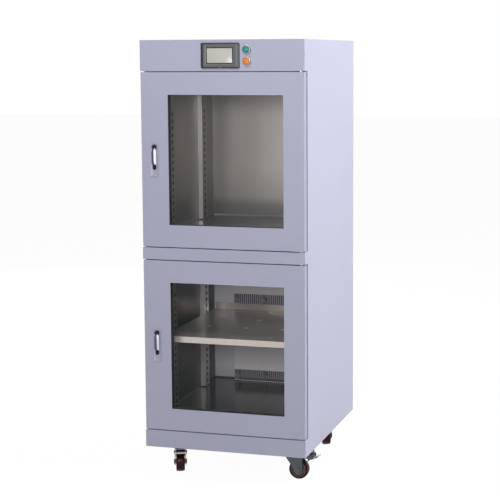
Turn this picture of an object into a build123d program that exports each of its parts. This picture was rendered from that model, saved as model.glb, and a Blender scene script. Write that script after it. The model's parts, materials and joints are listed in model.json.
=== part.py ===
from build123d import *
import os
from math import cos, floor, radians, sin

# Two-door desiccator cabinet on casters. Millimetres, +Z up, +X to the right seen from the front,
# doors towards -Y. The origin is on the floor, below the middle of the whole object.

os.makedirs("parts", exist_ok=True)

# Painted steel body
cabinet_width = 598.0
cabinet_depth = 710.0
header_height = 108.0
door_bay_height = 622.0
mid_rail_height = 42.0
base_height = 62.0
body_sheet = 1.5
floor_sheet = 2.0
bay_depth = 38.0
flange_width = 15.0
seam_clearance = 0.2

# Stainless liners and the angles that carry them
wall_depth = 32.0
sill_height = 43.0
liner_sheet = 1.2
support_ledge = 8.0
support_leg = 20.0

# Perforated pilasters
pilaster_width = 50.0
pilaster_depth = 18.0
pilaster_front_inset = 140.0
pilaster_rear_inset = 151.0
pilaster_hole = 6.5
pilaster_pitch = 25.0
pilaster_first_hole = 18.0
pilaster_top_margin = 118.0
count_slack = 0.001
floor_lift = 3.0

# Shelf and its clips
shelf_row = 10
shelf_fold = 20.0
shelf_front_fold = 22.0
shelf_return = 10.0
shelf_upturn = 23.0
shelf_weld_gap = 0.05
shelf_side_gap = 1.5
shelf_front_gap = 14.0
shelf_back_gap = 6.0
shelf_hole = 20.0
shelf_hole_pitch_x = 141.0
shelf_hole_pitch_y = 156.0
clip_width = 16.0
clip_tongue = 14.0
clip_thickness = 2.0
clip_hook_drop = 6.0
hook_clearance = 0.25

# Duct cover over the dryer on the rear wall
duct_width = 344.0
duct_height = 389.0
duct_depth = 40.0
slot_width = 4.0
slot_pitch = 8.6
slot_height = 42.0
lower_slots_rise = 5.0
upper_slots_rise = 312.0
duct_edge_margin = 7.0
duct_inner_screw_x = 49.0
stud_diameter = 8.0

# Dryer, humidity sensors and electronics
dryer_width = 210.0
dryer_height = 190.0
dryer_flange = 12.0
dryer_flange_thickness = 3.0
dryer_face_gap = 8.0
dryer_outlet = 64.0
dryer_rib_pitch = 14.0
dryer_rib_depth = 3.0
dryer_rib_length = 133.0
sensor_probe = 12.0
sensor_reach = 15.0
sensor_flange = 26.0
sensor_body = 20.0
sensor_drop = 60.0
sensor_back_gap = 68.0
electronics_back_gap = 70.0
supply_size = (160.0, 98.0, 42.0)
board_size = (150.0, 100.0, 1.6)
board_post = 8.0

# Panel screws: pan heads round the rear panel and on the duct cover
screw_diameter = 4.0
screw_head = 8.0
screw_head_height = 2.2
rear_screws_per_side = 5

# Rear panel: louvres, mains inlet
louvre_width = 90.0
louvre_height = 5.0
louvre_pitch = 14.0
louvre_count = 6
louvre_hood = 2.4
inlet_flange = (50.0, 28.0)
inlet_flange_thickness = 3.0
inlet_body = (28.0, 20.0)
inlet_body_depth = 22.0
inlet_recess = (24.0, 16.0)
inlet_recess_depth = 15.0
inlet_blade = (2.0, 4.0)
inlet_blade_spread = 7.0
inlet_blade_length = 10.5
inlet_inset = 109.0
inlet_drop = 62.0

# Touch panel in the header
hmi_width = 140.0
hmi_height = 88.0
hmi_proud = 6.0
hmi_body_inset = 5.0
hmi_body_depth = 34.0
hmi_x = -1.5
hmi_drop = 55.0
screen_width = 97.0
screen_height = 56.0
screen_offset = -2.0
screen_recess = 2.6
screen_thickness = 1.6
panel_cut_clearance = 1.0

# Push buttons in the header
button_x = 94.0
button_top_drop = 34.0
button_pitch = 40.0
button_bezel = 30.0
button_bezel_height = 8.0
button_cap = 24.0
button_proud = 4.0
button_travel = 3.0
button_well = 7.5
button_cap_round = 1.0
button_neck = 22.0
button_neck_depth = 14.0
button_block = (30.0, 38.0)
button_block_depth = 26.0

# Doors
door_gap = 3.5
door_side_inset = 1.5
door_thickness = 30.0
door_skin = 1.2
window_width = 420.0
window_height = 458.0
window_offset = 13.0
glass_thickness = 4.0
glass_overlap = 10.0
seal_lip = 1.0
seal_wall = 2.0
gasket_width = 12.0
gasket_offset = 1.5
soft_clearance = 0.3

# Door pivots
pivot_inset = 16.0
pivot_depth = 12.0
pin_diameter = 8.0
pin_length = 11.0
pin_head = 14.0
pin_head_height = 3.0
pivot_block = 24.0
pivot_block_height = 14.0
running_clearance = 0.05

# Latch handles
handle_inset = 50.0
handle_width = 31.0
handle_height = 116.0
handle_plate = 4.0
handle_corner = 7.0
latch_drop = 12.0
key_drop = 83.0
neck_diameter = 18.0
spindle_diameter = 10.0
spindle_end = 8.0
rotor_disc = 18.0
rotor_disc_thickness = 2.0
lever_width = 20.0
lever_length = 62.0
lever_crown = 12.0
lever_edge = 9.0
lever_pin = 4.0
lever_eye = 3.0
lever_pin_depth = 3.5
tongue_width = 7.0
lever_clearance = 0.6
key_width = 10.0
key_height = 14.0
key_proud = 3.0
key_travel = 2.5
key_length = 16.0
cam_thickness = 3.0
cam_width = 13.0
cam_wall_gap = 5.0
nut_across = 13.0
nut_height = 5.0
strike_reach = 10.0
strike_height = 26.0

# Casters
caster_height = 110.0
caster_inset_x = 87.0
caster_front_inset = 117.0
caster_rear_inset = 106.0
caster_plate = (90.0, 70.0)
caster_plate_thickness = 3.0
caster_bolt = 8.0
caster_bolt_spacing = (70.0, 50.0)
caster_pad = 4.0
raceway_diameter = 46.0
raceway_height = 7.0
kingpin = 12.0
kingpin_head = 20.0
fork_sheet = 3.0
fork_gap = 36.0
fork_foot = 16.0
fork_toe = 11.0
trail = 32.0
wheel_diameter = 72.0
wheel_width = 32.0
tyre_wall = 9.0
axle_diameter = 10.0
axle_nut = 16.0
axle_nut_height = 6.0
pedal_pin = 6.0
pedal_nut = 10.0
pedal_pivot = (81.0, 86.0)
pedal_ear = 9.0
pedal_boss = 15.0
pedal_bend = (91.0, 79.0)
pedal_tip = (108.0, 87.0)
pedal_shoe = (63.0, 66.0)
pedal_side_gap = 1.0
pedal_width = 50.0
pedal_corner = 8.0
pedal_sheet = 2.5

# Levels above the floor, worked out from the heights
base_z = caster_height
lower_bay_z = base_z + base_height
rail_z = lower_bay_z + door_bay_height
upper_bay_z = rail_z + mid_rail_height
header_z = upper_bay_z + door_bay_height
top_z = header_z + header_height
bays = {"lower": lower_bay_z, "upper": upper_bay_z}

# Places across and along, with the whole object's depth centred on the origin
half_width = cabinet_width / 2
inner_half = half_width - body_sheet
liner_half = half_width - wall_depth
front_projection = handle_plate + lever_clearance + lever_crown
rear_projection = inlet_flange_thickness
front_y = (front_projection - rear_projection - cabinet_depth) / 2
back_y = front_y + cabinet_depth
bay_y = front_y + bay_depth
liner_front_y = bay_y + body_sheet
liner_back_y = back_y - wall_depth
liner_height = door_bay_height - 2 * sill_height
handle_x = -half_width + handle_inset
pivot_x = half_width - pivot_inset
inlet_x = half_width - inlet_inset
pivot_y = front_y + pivot_depth
window_left = window_offset - window_width / 2
window_right = window_offset + window_width / 2
hmi_z = top_z - hmi_drop
button_levels = {"green": top_z - button_top_drop, "orange": top_z - button_top_drop - button_pitch}
duct_face_y = liner_back_y - duct_depth
pilaster_rows = (liner_front_y + pilaster_front_inset, liner_back_y - pilaster_rear_inset)
holes_span = liner_height - pilaster_first_hole - pilaster_top_margin
pilaster_hole_count = floor(holes_span / pilaster_pitch + count_slack) + 1
pilaster_face_x = liner_half - pilaster_depth


def elevation(y):
    """Upright plane at y, drawn with X to the right and Z up; a negative extrude goes back."""
    return Plane(origin=(0, y, 0), x_dir=(1, 0, 0), z_dir=(0, -1, 0))


def rectangle_between(left, right, low, high, mode=Mode.ADD):
    """Rectangle given by its edges on the sketch's plane."""
    with Locations(((left + right) / 2, (low + high) / 2)):
        Rectangle(right - left, high - low, mode=mode)


def window_rectangle(bay_z, margin, mode=Mode.ADD):
    """A door's window outline, grown by a margin all round."""
    low = bay_z + (door_bay_height - window_height) / 2
    rectangle_between(
        window_left - margin, window_right + margin, low - margin, low + window_height + margin, mode
    )


# Side panels: one sheet each, notched at the door bays, with flanges at the rear and the top
# and a welded angle below each liner
for side, node in ((-1, "left_side_panel"), (1, "right_side_panel")):
    inner_x = side * inner_half
    with BuildPart() as side_panel:
        with BuildSketch(Plane.YZ.offset(min(inner_x, side * half_width))):
            rectangle_between(front_y + body_sheet, back_y, base_z, top_z)
            for bay_z in bays.values():
                rectangle_between(front_y, bay_y, bay_z, bay_z + door_bay_height, Mode.SUBTRACT)
        extrude(amount=body_sheet)
        flange_edges = sorted((inner_x, inner_x - side * flange_width))
        with BuildSketch(Plane.XY.offset(base_z + floor_sheet)):
            rectangle_between(*flange_edges, back_y - 2 * body_sheet, back_y - body_sheet)
        extrude(amount=top_z - body_sheet - base_z - floor_sheet)
        with BuildSketch(Plane.XY.offset(top_z - 2 * body_sheet)):
            rectangle_between(*flange_edges, liner_front_y, back_y - body_sheet)
        extrude(amount=body_sheet)
        for bay_z in bays.values():
            ledge_z = bay_z + sill_height - liner_sheet
            leg_edges = sorted((inner_x, inner_x - side * body_sheet))
            ledge_edges = sorted((inner_x, side * (liner_half - support_ledge)))
            with BuildSketch(Plane.XZ.offset(-(liner_back_y - flange_width))):
                rectangle_between(*leg_edges, ledge_z - support_leg, ledge_z)
                rectangle_between(*ledge_edges, ledge_z - body_sheet, ledge_z)
            extrude(amount=liner_back_y - liner_front_y - 2 * flange_width)
    side_panel.part.label = node
    export_step(side_panel.part, f"parts/{node}.step")

# Top panel: a lid sheet between the side panels, with a folded rear edge
with BuildPart() as top_panel:
    with BuildSketch(Plane.XY.offset(top_z - body_sheet)):
        rectangle_between(-inner_half, inner_half, front_y + body_sheet, back_y - body_sheet)
    extrude(amount=body_sheet)
top_panel.part.label = "top_panel"
export_step(top_panel.part, "parts/top_panel.step")

# Header fascia: front face of the control compartment, returned at the bottom and the top
with BuildPart() as header_fascia:
    with BuildSketch(elevation(front_y)):
        rectangle_between(-half_width, half_width, header_z, top_z)
    extrude(amount=-body_sheet)
    with BuildSketch(elevation(front_y + body_sheet)):
        rectangle_between(-inner_half, inner_half, header_z, header_z + body_sheet)
    extrude(amount=-(bay_depth - body_sheet))
    with BuildSketch(elevation(front_y + body_sheet)):
        rectangle_between(-inner_half, inner_half, top_z - 2 * body_sheet, top_z - body_sheet)
    extrude(amount=-flange_width)
    with BuildSketch(elevation(front_y)):
        with Locations((hmi_x, hmi_z)):
            Rectangle(
                hmi_width - 2 * hmi_body_inset + panel_cut_clearance,
                hmi_height - 2 * hmi_body_inset + panel_cut_clearance,
            )
        with Locations([(button_x, level) for level in button_levels.values()]):
            Circle(button_neck / 2 + seam_clearance)
    extrude(amount=-body_sheet, mode=Mode.SUBTRACT)
    with BuildSketch(Plane.XY.offset(header_z)):
        with Locations((pivot_x, pivot_y)):
            Circle(pin_diameter / 2 + seam_clearance)
    extrude(amount=body_sheet, mode=Mode.SUBTRACT)
header_fascia.part.label = "header_fascia"
export_step(header_fascia.part, "parts/header_fascia.step")

# Middle rail: a channel between the two door bays
with BuildPart() as mid_rail:
    with BuildSketch(elevation(front_y)):
        rectangle_between(-half_width, half_width, rail_z, upper_bay_z)
    extrude(amount=-body_sheet)
    with BuildSketch(elevation(front_y + body_sheet)):
        rectangle_between(-inner_half, inner_half, rail_z, rail_z + body_sheet)
        rectangle_between(-inner_half, inner_half, upper_bay_z - body_sheet, upper_bay_z)
    extrude(amount=-(bay_depth - body_sheet))
    with BuildSketch(Plane.XY.offset(rail_z)):
        with Locations((pivot_x, pivot_y)):
            Circle(pin_diameter / 2 + seam_clearance)
    extrude(amount=mid_rail_height, mode=Mode.SUBTRACT)
mid_rail.part.label = "mid_rail"
export_step(mid_rail.part, "parts/mid_rail.step")

# Base: floor sheet with a front skirt, side upstands and pads over the casters
caster_x = half_width - caster_inset_x
caster_front_y = front_y + caster_front_inset
caster_rear_y = back_y - caster_rear_inset
caster_places = [(x, y) for x in (-caster_x, caster_x) for y in (caster_front_y, caster_rear_y)]
with BuildPart() as base_frame:
    with BuildSketch(elevation(front_y)):
        rectangle_between(-half_width, half_width, base_z, lower_bay_z)
    extrude(amount=-body_sheet)
    with BuildSketch(elevation(front_y + body_sheet)):
        rectangle_between(-inner_half, inner_half, lower_bay_z - body_sheet, lower_bay_z)
    extrude(amount=-(bay_depth - body_sheet))
    with BuildSketch(Plane.XY.offset(base_z)):
        rectangle_between(-inner_half, inner_half, front_y + body_sheet, back_y - body_sheet)
    extrude(amount=floor_sheet)
    with BuildSketch(Plane.XY.offset(base_z + floor_sheet)):
        for side in (-1, 1):
            edges = sorted((side * inner_half, side * (inner_half - body_sheet)))
            rectangle_between(*edges, bay_y, back_y - 2 * body_sheet)
    extrude(amount=flange_width)
    with BuildSketch(Plane.XY.offset(base_z + floor_sheet)):
        with Locations(caster_places):
            RectangleRounded(*caster_plate, caster_bolt)
    extrude(amount=caster_pad)
    with BuildSketch(Plane.XY.offset(base_z)):
        for place in caster_places:
            with Locations(place):
                with GridLocations(*caster_bolt_spacing, 2, 2):
                    Circle(caster_bolt / 2 + seam_clearance)
    extrude(amount=floor_sheet + caster_pad, mode=Mode.SUBTRACT)
    with BuildSketch(Plane.XY.offset(lower_bay_z - body_sheet)):
        with Locations((pivot_x, pivot_y)):
            Circle(pin_diameter / 2 + seam_clearance)
    extrude(amount=body_sheet, mode=Mode.SUBTRACT)
base_frame.part.label = "base_frame"
export_step(base_frame.part, "parts/base_frame.step")

# Front frame: the sheet that the gaskets close on, with a strike tab for each latch cam
latch_levels = {
    bay: bay_z + door_bay_height / 2 + handle_height / 2 - latch_drop for bay, bay_z in bays.items()
}
with BuildPart() as front_frame:
    with BuildSketch(elevation(bay_y)):
        rectangle_between(-inner_half, inner_half, lower_bay_z, header_z)
        for bay_z in bays.values():
            opening_z = bay_z + sill_height
            rectangle_between(-liner_half, liner_half, opening_z, opening_z + liner_height, Mode.SUBTRACT)
        for latch_z in latch_levels.values():
            tab_low = latch_z - strike_height / 2
            rectangle_between(-liner_half, strike_reach - liner_half, tab_low, tab_low + strike_height)
    extrude(amount=-body_sheet)
front_frame.part.label = "front_frame"
export_step(front_frame.part, "parts/front_frame.step")

# Liners: stainless tubs, open at the front. The lower one has the dryer's opening and the
# welded studs of the duct cover; both have a hole for a humidity sensor.
dryer_z = lower_bay_z + sill_height + (lower_slots_rise + slot_height + upper_slots_rise) / 2
sensor_y = liner_back_y - sensor_back_gap
screw_columns = (
    -duct_width / 2 + duct_edge_margin,
    -duct_inner_screw_x,
    duct_inner_screw_x,
    duct_width / 2 - duct_edge_margin,
)
duct_floor_z = lower_bay_z + sill_height
duct_screws = [
    (x, duct_floor_z + rise + slot_height / 2)
    for x in screw_columns
    for rise in (lower_slots_rise, upper_slots_rise)
]
for bay, bay_z in bays.items():
    floor_z = bay_z + sill_height
    sensor_z = floor_z + liner_height - sensor_drop
    with BuildPart() as liner:
        with BuildSketch(elevation(liner_front_y)):
            rectangle_between(
                -liner_half - liner_sheet,
                liner_half + liner_sheet,
                floor_z - liner_sheet,
                floor_z + liner_height + liner_sheet,
            )
        extrude(amount=-(liner_back_y + liner_sheet - liner_front_y))
        with BuildSketch(elevation(liner_front_y)):
            rectangle_between(-liner_half, liner_half, floor_z, floor_z + liner_height)
        extrude(amount=-(liner_back_y - liner_front_y), mode=Mode.SUBTRACT)
        with BuildSketch(Plane.YZ.offset(liner_half)):
            with Locations((sensor_y, sensor_z)):
                Circle(sensor_probe / 2 + seam_clearance)
        extrude(amount=liner_sheet, mode=Mode.SUBTRACT)
        if bay == "lower":
            with BuildSketch(elevation(liner_back_y)):
                with Locations((0, dryer_z)):
                    Rectangle(dryer_width + panel_cut_clearance, dryer_height + panel_cut_clearance)
            extrude(amount=-liner_sheet, mode=Mode.SUBTRACT)
            with BuildSketch(elevation(liner_back_y)):
                with Locations(duct_screws):
                    Circle(stud_diameter / 2)
            extrude(amount=duct_depth - liner_sheet)
    liner.part.label = f"{bay}_liner"
    export_step(liner.part, f"parts/{bay}_liner.step")

# Pilasters: channels against the liner's side walls, with a column of holes for the shelf clips
with BuildPart() as shelf_pilasters:
    for bay_z in bays.values():
        floor_z = bay_z + sill_height
        with BuildSketch(Plane.XY.offset(floor_z + floor_lift)):
            for side in (-1, 1):
                for row_y in pilaster_rows:
                    channel_x = sorted((side * liner_half, side * pilaster_face_x))
                    hollow_x = sorted((side * liner_half, side * (pilaster_face_x + liner_sheet)))
                    edge = pilaster_width / 2
                    rectangle_between(*channel_x, row_y - edge, row_y + edge)
                    inner_edge = edge - liner_sheet
                    rectangle_between(*hollow_x, row_y - inner_edge, row_y + inner_edge, Mode.SUBTRACT)
        extrude(amount=liner_height - floor_lift)
    holes_middle = pilaster_first_hole + (pilaster_hole_count - 1) * pilaster_pitch / 2
    for side in (-1, 1):
        web_x = min(side * pilaster_face_x, side * (pilaster_face_x + liner_sheet))
        with BuildSketch(Plane.YZ.offset(web_x)):
            for bay_z in bays.values():
                for row_y in pilaster_rows:
                    with Locations((row_y, bay_z + sill_height + holes_middle)):
                        with GridLocations(0, pilaster_pitch, 1, pilaster_hole_count):
                            Circle(pilaster_hole / 2)
        extrude(amount=liner_sheet, mode=Mode.SUBTRACT)
shelf_pilasters.part.label = "shelf_pilasters"
export_step(shelf_pilasters.part, "parts/shelf_pilasters.step")

# Shelf: a folded tray upside down, vented, with a stop plate spot-welded along its rear edge
hook_z = duct_floor_z + pilaster_first_hole + shelf_row * pilaster_pitch
clip_top_z = hook_z + clip_hook_drop
shelf_top_z = clip_top_z + shelf_fold
shelf_half = pilaster_face_x - shelf_side_gap
shelf_front_y = bay_y + shelf_front_gap
shelf_back_y = duct_face_y - shelf_back_gap
shelf_middle_y = (shelf_front_y + shelf_back_y) / 2
shelf_tray_back_y = shelf_back_y - liner_sheet - shelf_weld_gap
with BuildPart() as shelf:
    with BuildSketch(Plane.YZ.offset(-shelf_half)):
        rectangle_between(shelf_front_y, shelf_tray_back_y, shelf_top_z - liner_sheet, shelf_top_z)
        rectangle_between(
            shelf_front_y, shelf_front_y + liner_sheet, shelf_top_z - shelf_front_fold, shelf_top_z
        )
        rectangle_between(
            shelf_front_y,
            shelf_front_y + shelf_return,
            shelf_top_z - shelf_front_fold,
            shelf_top_z - shelf_front_fold + liner_sheet,
        )
        rectangle_between(
            shelf_back_y - liner_sheet, shelf_back_y, shelf_top_z - shelf_fold, shelf_top_z + shelf_upturn
        )
    extrude(amount=2 * shelf_half)
    with BuildSketch(Plane.XY.offset(shelf_top_z - shelf_fold)):
        for side in (-1, 1):
            edges = sorted((side * shelf_half, side * (shelf_half - liner_sheet)))
            rectangle_between(*edges, shelf_front_y + shelf_return, shelf_tray_back_y)
    extrude(amount=shelf_fold - liner_sheet)
    with BuildSketch(Plane.XY.offset(shelf_top_z - liner_sheet)):
        with Locations((0, shelf_middle_y)):
            with GridLocations(shelf_hole_pitch_x, shelf_hole_pitch_y, 3, 4):
                Circle(shelf_hole / 2)
    extrude(amount=liner_sheet, mode=Mode.SUBTRACT)
shelf.part.label = "shelf"
export_step(shelf.part, "parts/shelf.step")

# Shelf clips: each hangs by two hooks in a pilaster and carries the shelf's side fold on a tongue
with BuildPart() as shelf_clips:
    for side in (-1, 1):
        for row_y in pilaster_rows:
            tongue_x = sorted((side * pilaster_face_x, side * (pilaster_face_x - clip_tongue)))
            plate_x = sorted((side * pilaster_face_x, side * (pilaster_face_x - clip_thickness)))
            leg_z = hook_z - pilaster_pitch - pilaster_hole / 2
            with BuildSketch(Plane.XZ.offset(-(row_y + clip_width / 2))):
                rectangle_between(*tongue_x, clip_top_z - clip_thickness, clip_top_z)
                rectangle_between(*plate_x, leg_z, clip_top_z)
            extrude(amount=clip_width)
            hook_x = min(side * pilaster_face_x, side * (pilaster_face_x + 2 * liner_sheet))
            with BuildSketch(Plane.YZ.offset(hook_x)):
                with Locations((row_y, hook_z), (row_y, hook_z - pilaster_pitch)):
                    Circle(pilaster_hole / 2 - hook_clearance)
            extrude(amount=2 * liner_sheet)
shelf_clips.part.label = "shelf_clips"
export_step(shelf_clips.part, "parts/shelf_clips.step")

# Duct cover: a channel on the rear wall with two bands of upright slots
slot_count = floor((duct_width - 4 * duct_edge_margin) / slot_pitch)
slot_places = [(index - (slot_count - 1) / 2) * slot_pitch for index in range(slot_count)]
slot_columns = [x for x in slot_places if abs(abs(x) - duct_inner_screw_x) > screw_head / 2 + slot_width / 2]
with BuildPart() as duct_cover:
    with BuildSketch(Plane.XY.offset(duct_floor_z + floor_lift)):
        rectangle_between(-duct_width / 2, duct_width / 2, duct_face_y, liner_back_y)
        inner = duct_width / 2 - liner_sheet
        rectangle_between(-inner, inner, duct_face_y + liner_sheet, liner_back_y, Mode.SUBTRACT)
    extrude(amount=duct_height - liner_sheet - floor_lift)
    with BuildSketch(Plane.XY.offset(duct_floor_z + duct_height - liner_sheet)):
        rectangle_between(-duct_width / 2, duct_width / 2, duct_face_y, liner_back_y)
    extrude(amount=liner_sheet)
    with BuildSketch(elevation(duct_face_y)):
        for rise in (lower_slots_rise, upper_slots_rise):
            with Locations([(x, duct_floor_z + rise + slot_height / 2) for x in slot_columns]):
                Rectangle(slot_width, slot_height)
        with Locations(duct_screws):
            Circle(screw_diameter / 2 + seam_clearance)
    extrude(amount=-liner_sheet, mode=Mode.SUBTRACT)
duct_cover.part.label = "duct_cover"
export_step(duct_cover.part, "parts/duct_cover.step")

# Dryer: a moulded cassette through the liner's rear wall, flanged behind it, with an outlet
# neck that meets the rear panel
dryer_front_y = duct_face_y + dryer_face_gap
liner_rear_face_y = liner_back_y + liner_sheet
outlet_y = back_y - body_sheet
with BuildPart() as dryer_unit:
    with BuildSketch(elevation(dryer_front_y)):
        with Locations((0, dryer_z)):
            RectangleRounded(dryer_width, dryer_height, dryer_flange)
    extrude(amount=-(liner_rear_face_y - dryer_front_y))
    with BuildSketch(elevation(liner_rear_face_y)):
        with Locations((0, dryer_z)):
            RectangleRounded(
                dryer_width + 2 * dryer_flange, dryer_height + 2 * dryer_flange, dryer_flange
            )
    extrude(amount=-dryer_flange_thickness)
    with BuildSketch(elevation(liner_rear_face_y + dryer_flange_thickness)):
        with Locations((0, dryer_z)):
            Circle(dryer_outlet / 2)
            Circle(dryer_outlet / 2 - dryer_flange_thickness, mode=Mode.SUBTRACT)
    extrude(amount=-(outlet_y - liner_rear_face_y - dryer_flange_thickness))
    rib_count = floor(dryer_width / dryer_rib_pitch) - 1
    with BuildSketch(elevation(dryer_front_y)):
        with Locations((0, dryer_z)):
            with GridLocations(dryer_rib_pitch, 0, rib_count, 1):
                Rectangle(dryer_rib_pitch / 2, dryer_rib_length)
    extrude(amount=-dryer_rib_depth, mode=Mode.SUBTRACT)
dryer_unit.part.label = "dryer_unit"
export_step(dryer_unit.part, "parts/dryer_unit.step")

# Humidity sensors: a probe through the right-hand liner wall of each compartment
with BuildPart() as humidity_sensors:
    for bay_z in bays.values():
        sensor_z = bay_z + sill_height + liner_height - sensor_drop
        with BuildSketch(Plane.YZ.offset(liner_half - sensor_reach)):
            with Locations((sensor_y, sensor_z)):
                Circle(sensor_probe / 2)
        extrude(amount=sensor_reach + liner_sheet)
        with BuildSketch(Plane.YZ.offset(liner_half + liner_sheet)):
            with Locations((sensor_y, sensor_z)):
                RectangleRounded(sensor_flange, sensor_flange, seal_wall)
        extrude(amount=sensor_body)
humidity_sensors.part.label = "humidity_sensors"
export_step(humidity_sensors.part, "parts/humidity_sensors.step")

# Control electronics on the upper liner's roof: a switched supply and a board on posts
roof_z = upper_bay_z + sill_height + liner_height + liner_sheet
electronics_y = liner_back_y - electronics_back_gap
with BuildPart() as control_electronics:
    supply_x = -inner_half / 2
    with BuildSketch(Plane.XY.offset(roof_z)):
        with Locations((supply_x, electronics_y)):
            Rectangle(supply_size[0], supply_size[1])
    extrude(amount=supply_size[2])
    board_x = inner_half / 2
    with BuildSketch(Plane.XY.offset(roof_z)):
        with Locations((board_x, electronics_y)):
            with GridLocations(board_size[0] - 2 * board_post, board_size[1] - 2 * board_post, 2, 2):
                Circle(board_post / 2)
    extrude(amount=board_post)
    with BuildSketch(Plane.XY.offset(roof_z + board_post)):
        with Locations((board_x, electronics_y)):
            Rectangle(board_size[0], board_size[1])
    extrude(amount=board_size[2])
    with BuildSketch(Plane.XY.offset(roof_z + board_post + board_size[2])):
        with Locations((board_x, electronics_y)):
            with GridLocations(board_size[0] / 3, 0, 3, 1):
                Rectangle(board_size[0] / 5, board_size[1] / 3)
    extrude(amount=2 * board_post)
control_electronics.part.label = "control_electronics"
export_step(control_electronics.part, "parts/control_electronics.step")

# Rear panel between the side panels, with two fields of pressed louvres and the mains inlet's hole
inlet_z = top_z - inlet_drop
louvre_fields = (dryer_z, top_z - header_height / 2)
rear_screw_x = inner_half - flange_width / 2
rear_screw_span = top_z - base_z - 4 * flange_width
rear_screw_pitch = rear_screw_span / (rear_screws_per_side - 1)
rear_screws = [
    (side * rear_screw_x, base_z + 2 * flange_width + index * rear_screw_pitch)
    for side in (-1, 1)
    for index in range(rear_screws_per_side)
]
with BuildPart() as rear_panel:
    with BuildSketch(elevation(back_y - body_sheet)):
        rectangle_between(-inner_half, inner_half, base_z, top_z)
    extrude(amount=-body_sheet)
    for field_z in louvre_fields:
        with BuildSketch(elevation(back_y)):
            with Locations((0, field_z + louvre_height / 2)):
                with GridLocations(0, louvre_pitch, 1, louvre_count):
                    Rectangle(louvre_width, louvre_height)
        extrude(amount=-louvre_hood)
        with BuildSketch(elevation(back_y - body_sheet)):
            with Locations((0, field_z)):
                with GridLocations(0, louvre_pitch, 1, louvre_count):
                    Rectangle(louvre_width - 2 * louvre_hood, louvre_height)
        extrude(amount=-(body_sheet + louvre_hood / 2), mode=Mode.SUBTRACT)
    with BuildSketch(elevation(back_y - body_sheet)):
        with Locations((inlet_x, inlet_z)):
            Rectangle(inlet_body[0] + panel_cut_clearance, inlet_body[1] + panel_cut_clearance)
        with Locations(rear_screws):
            Circle(screw_diameter / 2 + seam_clearance)
    extrude(amount=-body_sheet, mode=Mode.SUBTRACT)
rear_panel.part.label = "rear_panel"
export_step(rear_panel.part, "parts/rear_panel.step")

# Mains inlet: flanged socket with three blades
with BuildPart() as power_inlet:
    with BuildSketch(elevation(back_y)):
        with Locations((inlet_x, inlet_z)):
            RectangleRounded(*inlet_flange, inlet_flange_thickness)
    extrude(amount=-inlet_flange_thickness)
    with BuildSketch(elevation(back_y)):
        with Locations((inlet_x, inlet_z)):
            Rectangle(*inlet_body)
    extrude(amount=inlet_body_depth)
    with BuildSketch(elevation(back_y + inlet_flange_thickness)):
        with Locations((inlet_x, inlet_z)):
            Rectangle(*inlet_recess)
    extrude(amount=inlet_recess_depth + inlet_flange_thickness, mode=Mode.SUBTRACT)
    with BuildSketch(elevation(back_y - inlet_recess_depth)):
        with Locations(
            (inlet_x, inlet_z + inlet_blade[0]),
            (inlet_x - inlet_blade_spread, inlet_z - inlet_blade[0]),
            (inlet_x + inlet_blade_spread, inlet_z - inlet_blade[0]),
        ):
            Rectangle(*inlet_blade)
    extrude(amount=-inlet_blade_length)
power_inlet.part.label = "power_inlet"
export_step(power_inlet.part, "parts/power_inlet.step")

# Panel screws: round the rear panel and on the duct cover
with BuildPart() as panel_screws:
    with BuildSketch(elevation(back_y)):
        with Locations(rear_screws):
            Circle(screw_head / 2)
    extrude(amount=-screw_head_height)
    with BuildSketch(elevation(back_y)):
        with Locations(rear_screws):
            Circle(screw_diameter / 2)
    extrude(amount=body_sheet)
    with BuildSketch(elevation(duct_face_y)):
        with Locations(duct_screws):
            Circle(screw_head / 2)
    extrude(amount=screw_head_height)
    with BuildSketch(elevation(duct_face_y)):
        with Locations(duct_screws):
            Circle(screw_diameter / 2)
    extrude(amount=-liner_sheet)
panel_screws.part.label = "panel_screws"
export_step(panel_screws.part, "parts/panel_screws.step")

# Touch panel: bezel with a recessed screen and a body through the fascia
with BuildPart() as hmi_housing:
    with BuildSketch(elevation(front_y)):
        with Locations((hmi_x, hmi_z)):
            RectangleRounded(hmi_width, hmi_height, hmi_proud / 2)
    extrude(amount=hmi_proud)
    rim = hmi_housing.faces().sort_by(Axis.Y)[0].edges()
    chamfer(rim, length=hmi_proud / 4)
    with BuildSketch(elevation(front_y)):
        with Locations((hmi_x, hmi_z)):
            Rectangle(hmi_width - 2 * hmi_body_inset, hmi_height - 2 * hmi_body_inset)
    extrude(amount=-hmi_body_depth)
    with BuildSketch(elevation(front_y - hmi_proud)):
        with Locations((hmi_x + screen_offset, hmi_z)):
            Rectangle(screen_width, screen_height)
    extrude(amount=-(screen_recess + screen_thickness), mode=Mode.SUBTRACT)
hmi_housing.part.label = "hmi_housing"
export_step(hmi_housing.part, "parts/hmi_housing.step")

with BuildPart() as hmi_screen:
    with BuildSketch(elevation(front_y - hmi_proud + screen_recess)):
        with Locations((hmi_x + screen_offset, hmi_z)):
            Rectangle(screen_width, screen_height)
    extrude(amount=-screen_thickness)
hmi_screen.part.label = "hmi_screen"
export_step(hmi_screen.part, "parts/hmi_screen.step")

# Push buttons: bezel, threaded neck and contact block, with a coloured cap that slides in
with BuildPart() as button_bodies:
    for level in button_levels.values():
        with BuildSketch(elevation(front_y)):
            with Locations((button_x, level)):
                Circle(button_bezel / 2)
        extrude(amount=button_bezel_height, taper=5)
        with BuildSketch(elevation(front_y)):
            with Locations((button_x, level)):
                Circle(button_neck / 2)
        extrude(amount=-button_neck_depth)
        with BuildSketch(elevation(front_y + button_neck_depth)):
            with Locations((button_x, level)):
                Rectangle(*button_block)
        extrude(amount=-button_block_depth)
        with BuildSketch(elevation(front_y - button_bezel_height)):
            with Locations((button_x, level)):
                Circle(button_cap / 2 + running_clearance)
        extrude(amount=-button_well, mode=Mode.SUBTRACT)
button_bodies.part.label = "button_bodies"
export_step(button_bodies.part, "parts/button_bodies.step")

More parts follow.
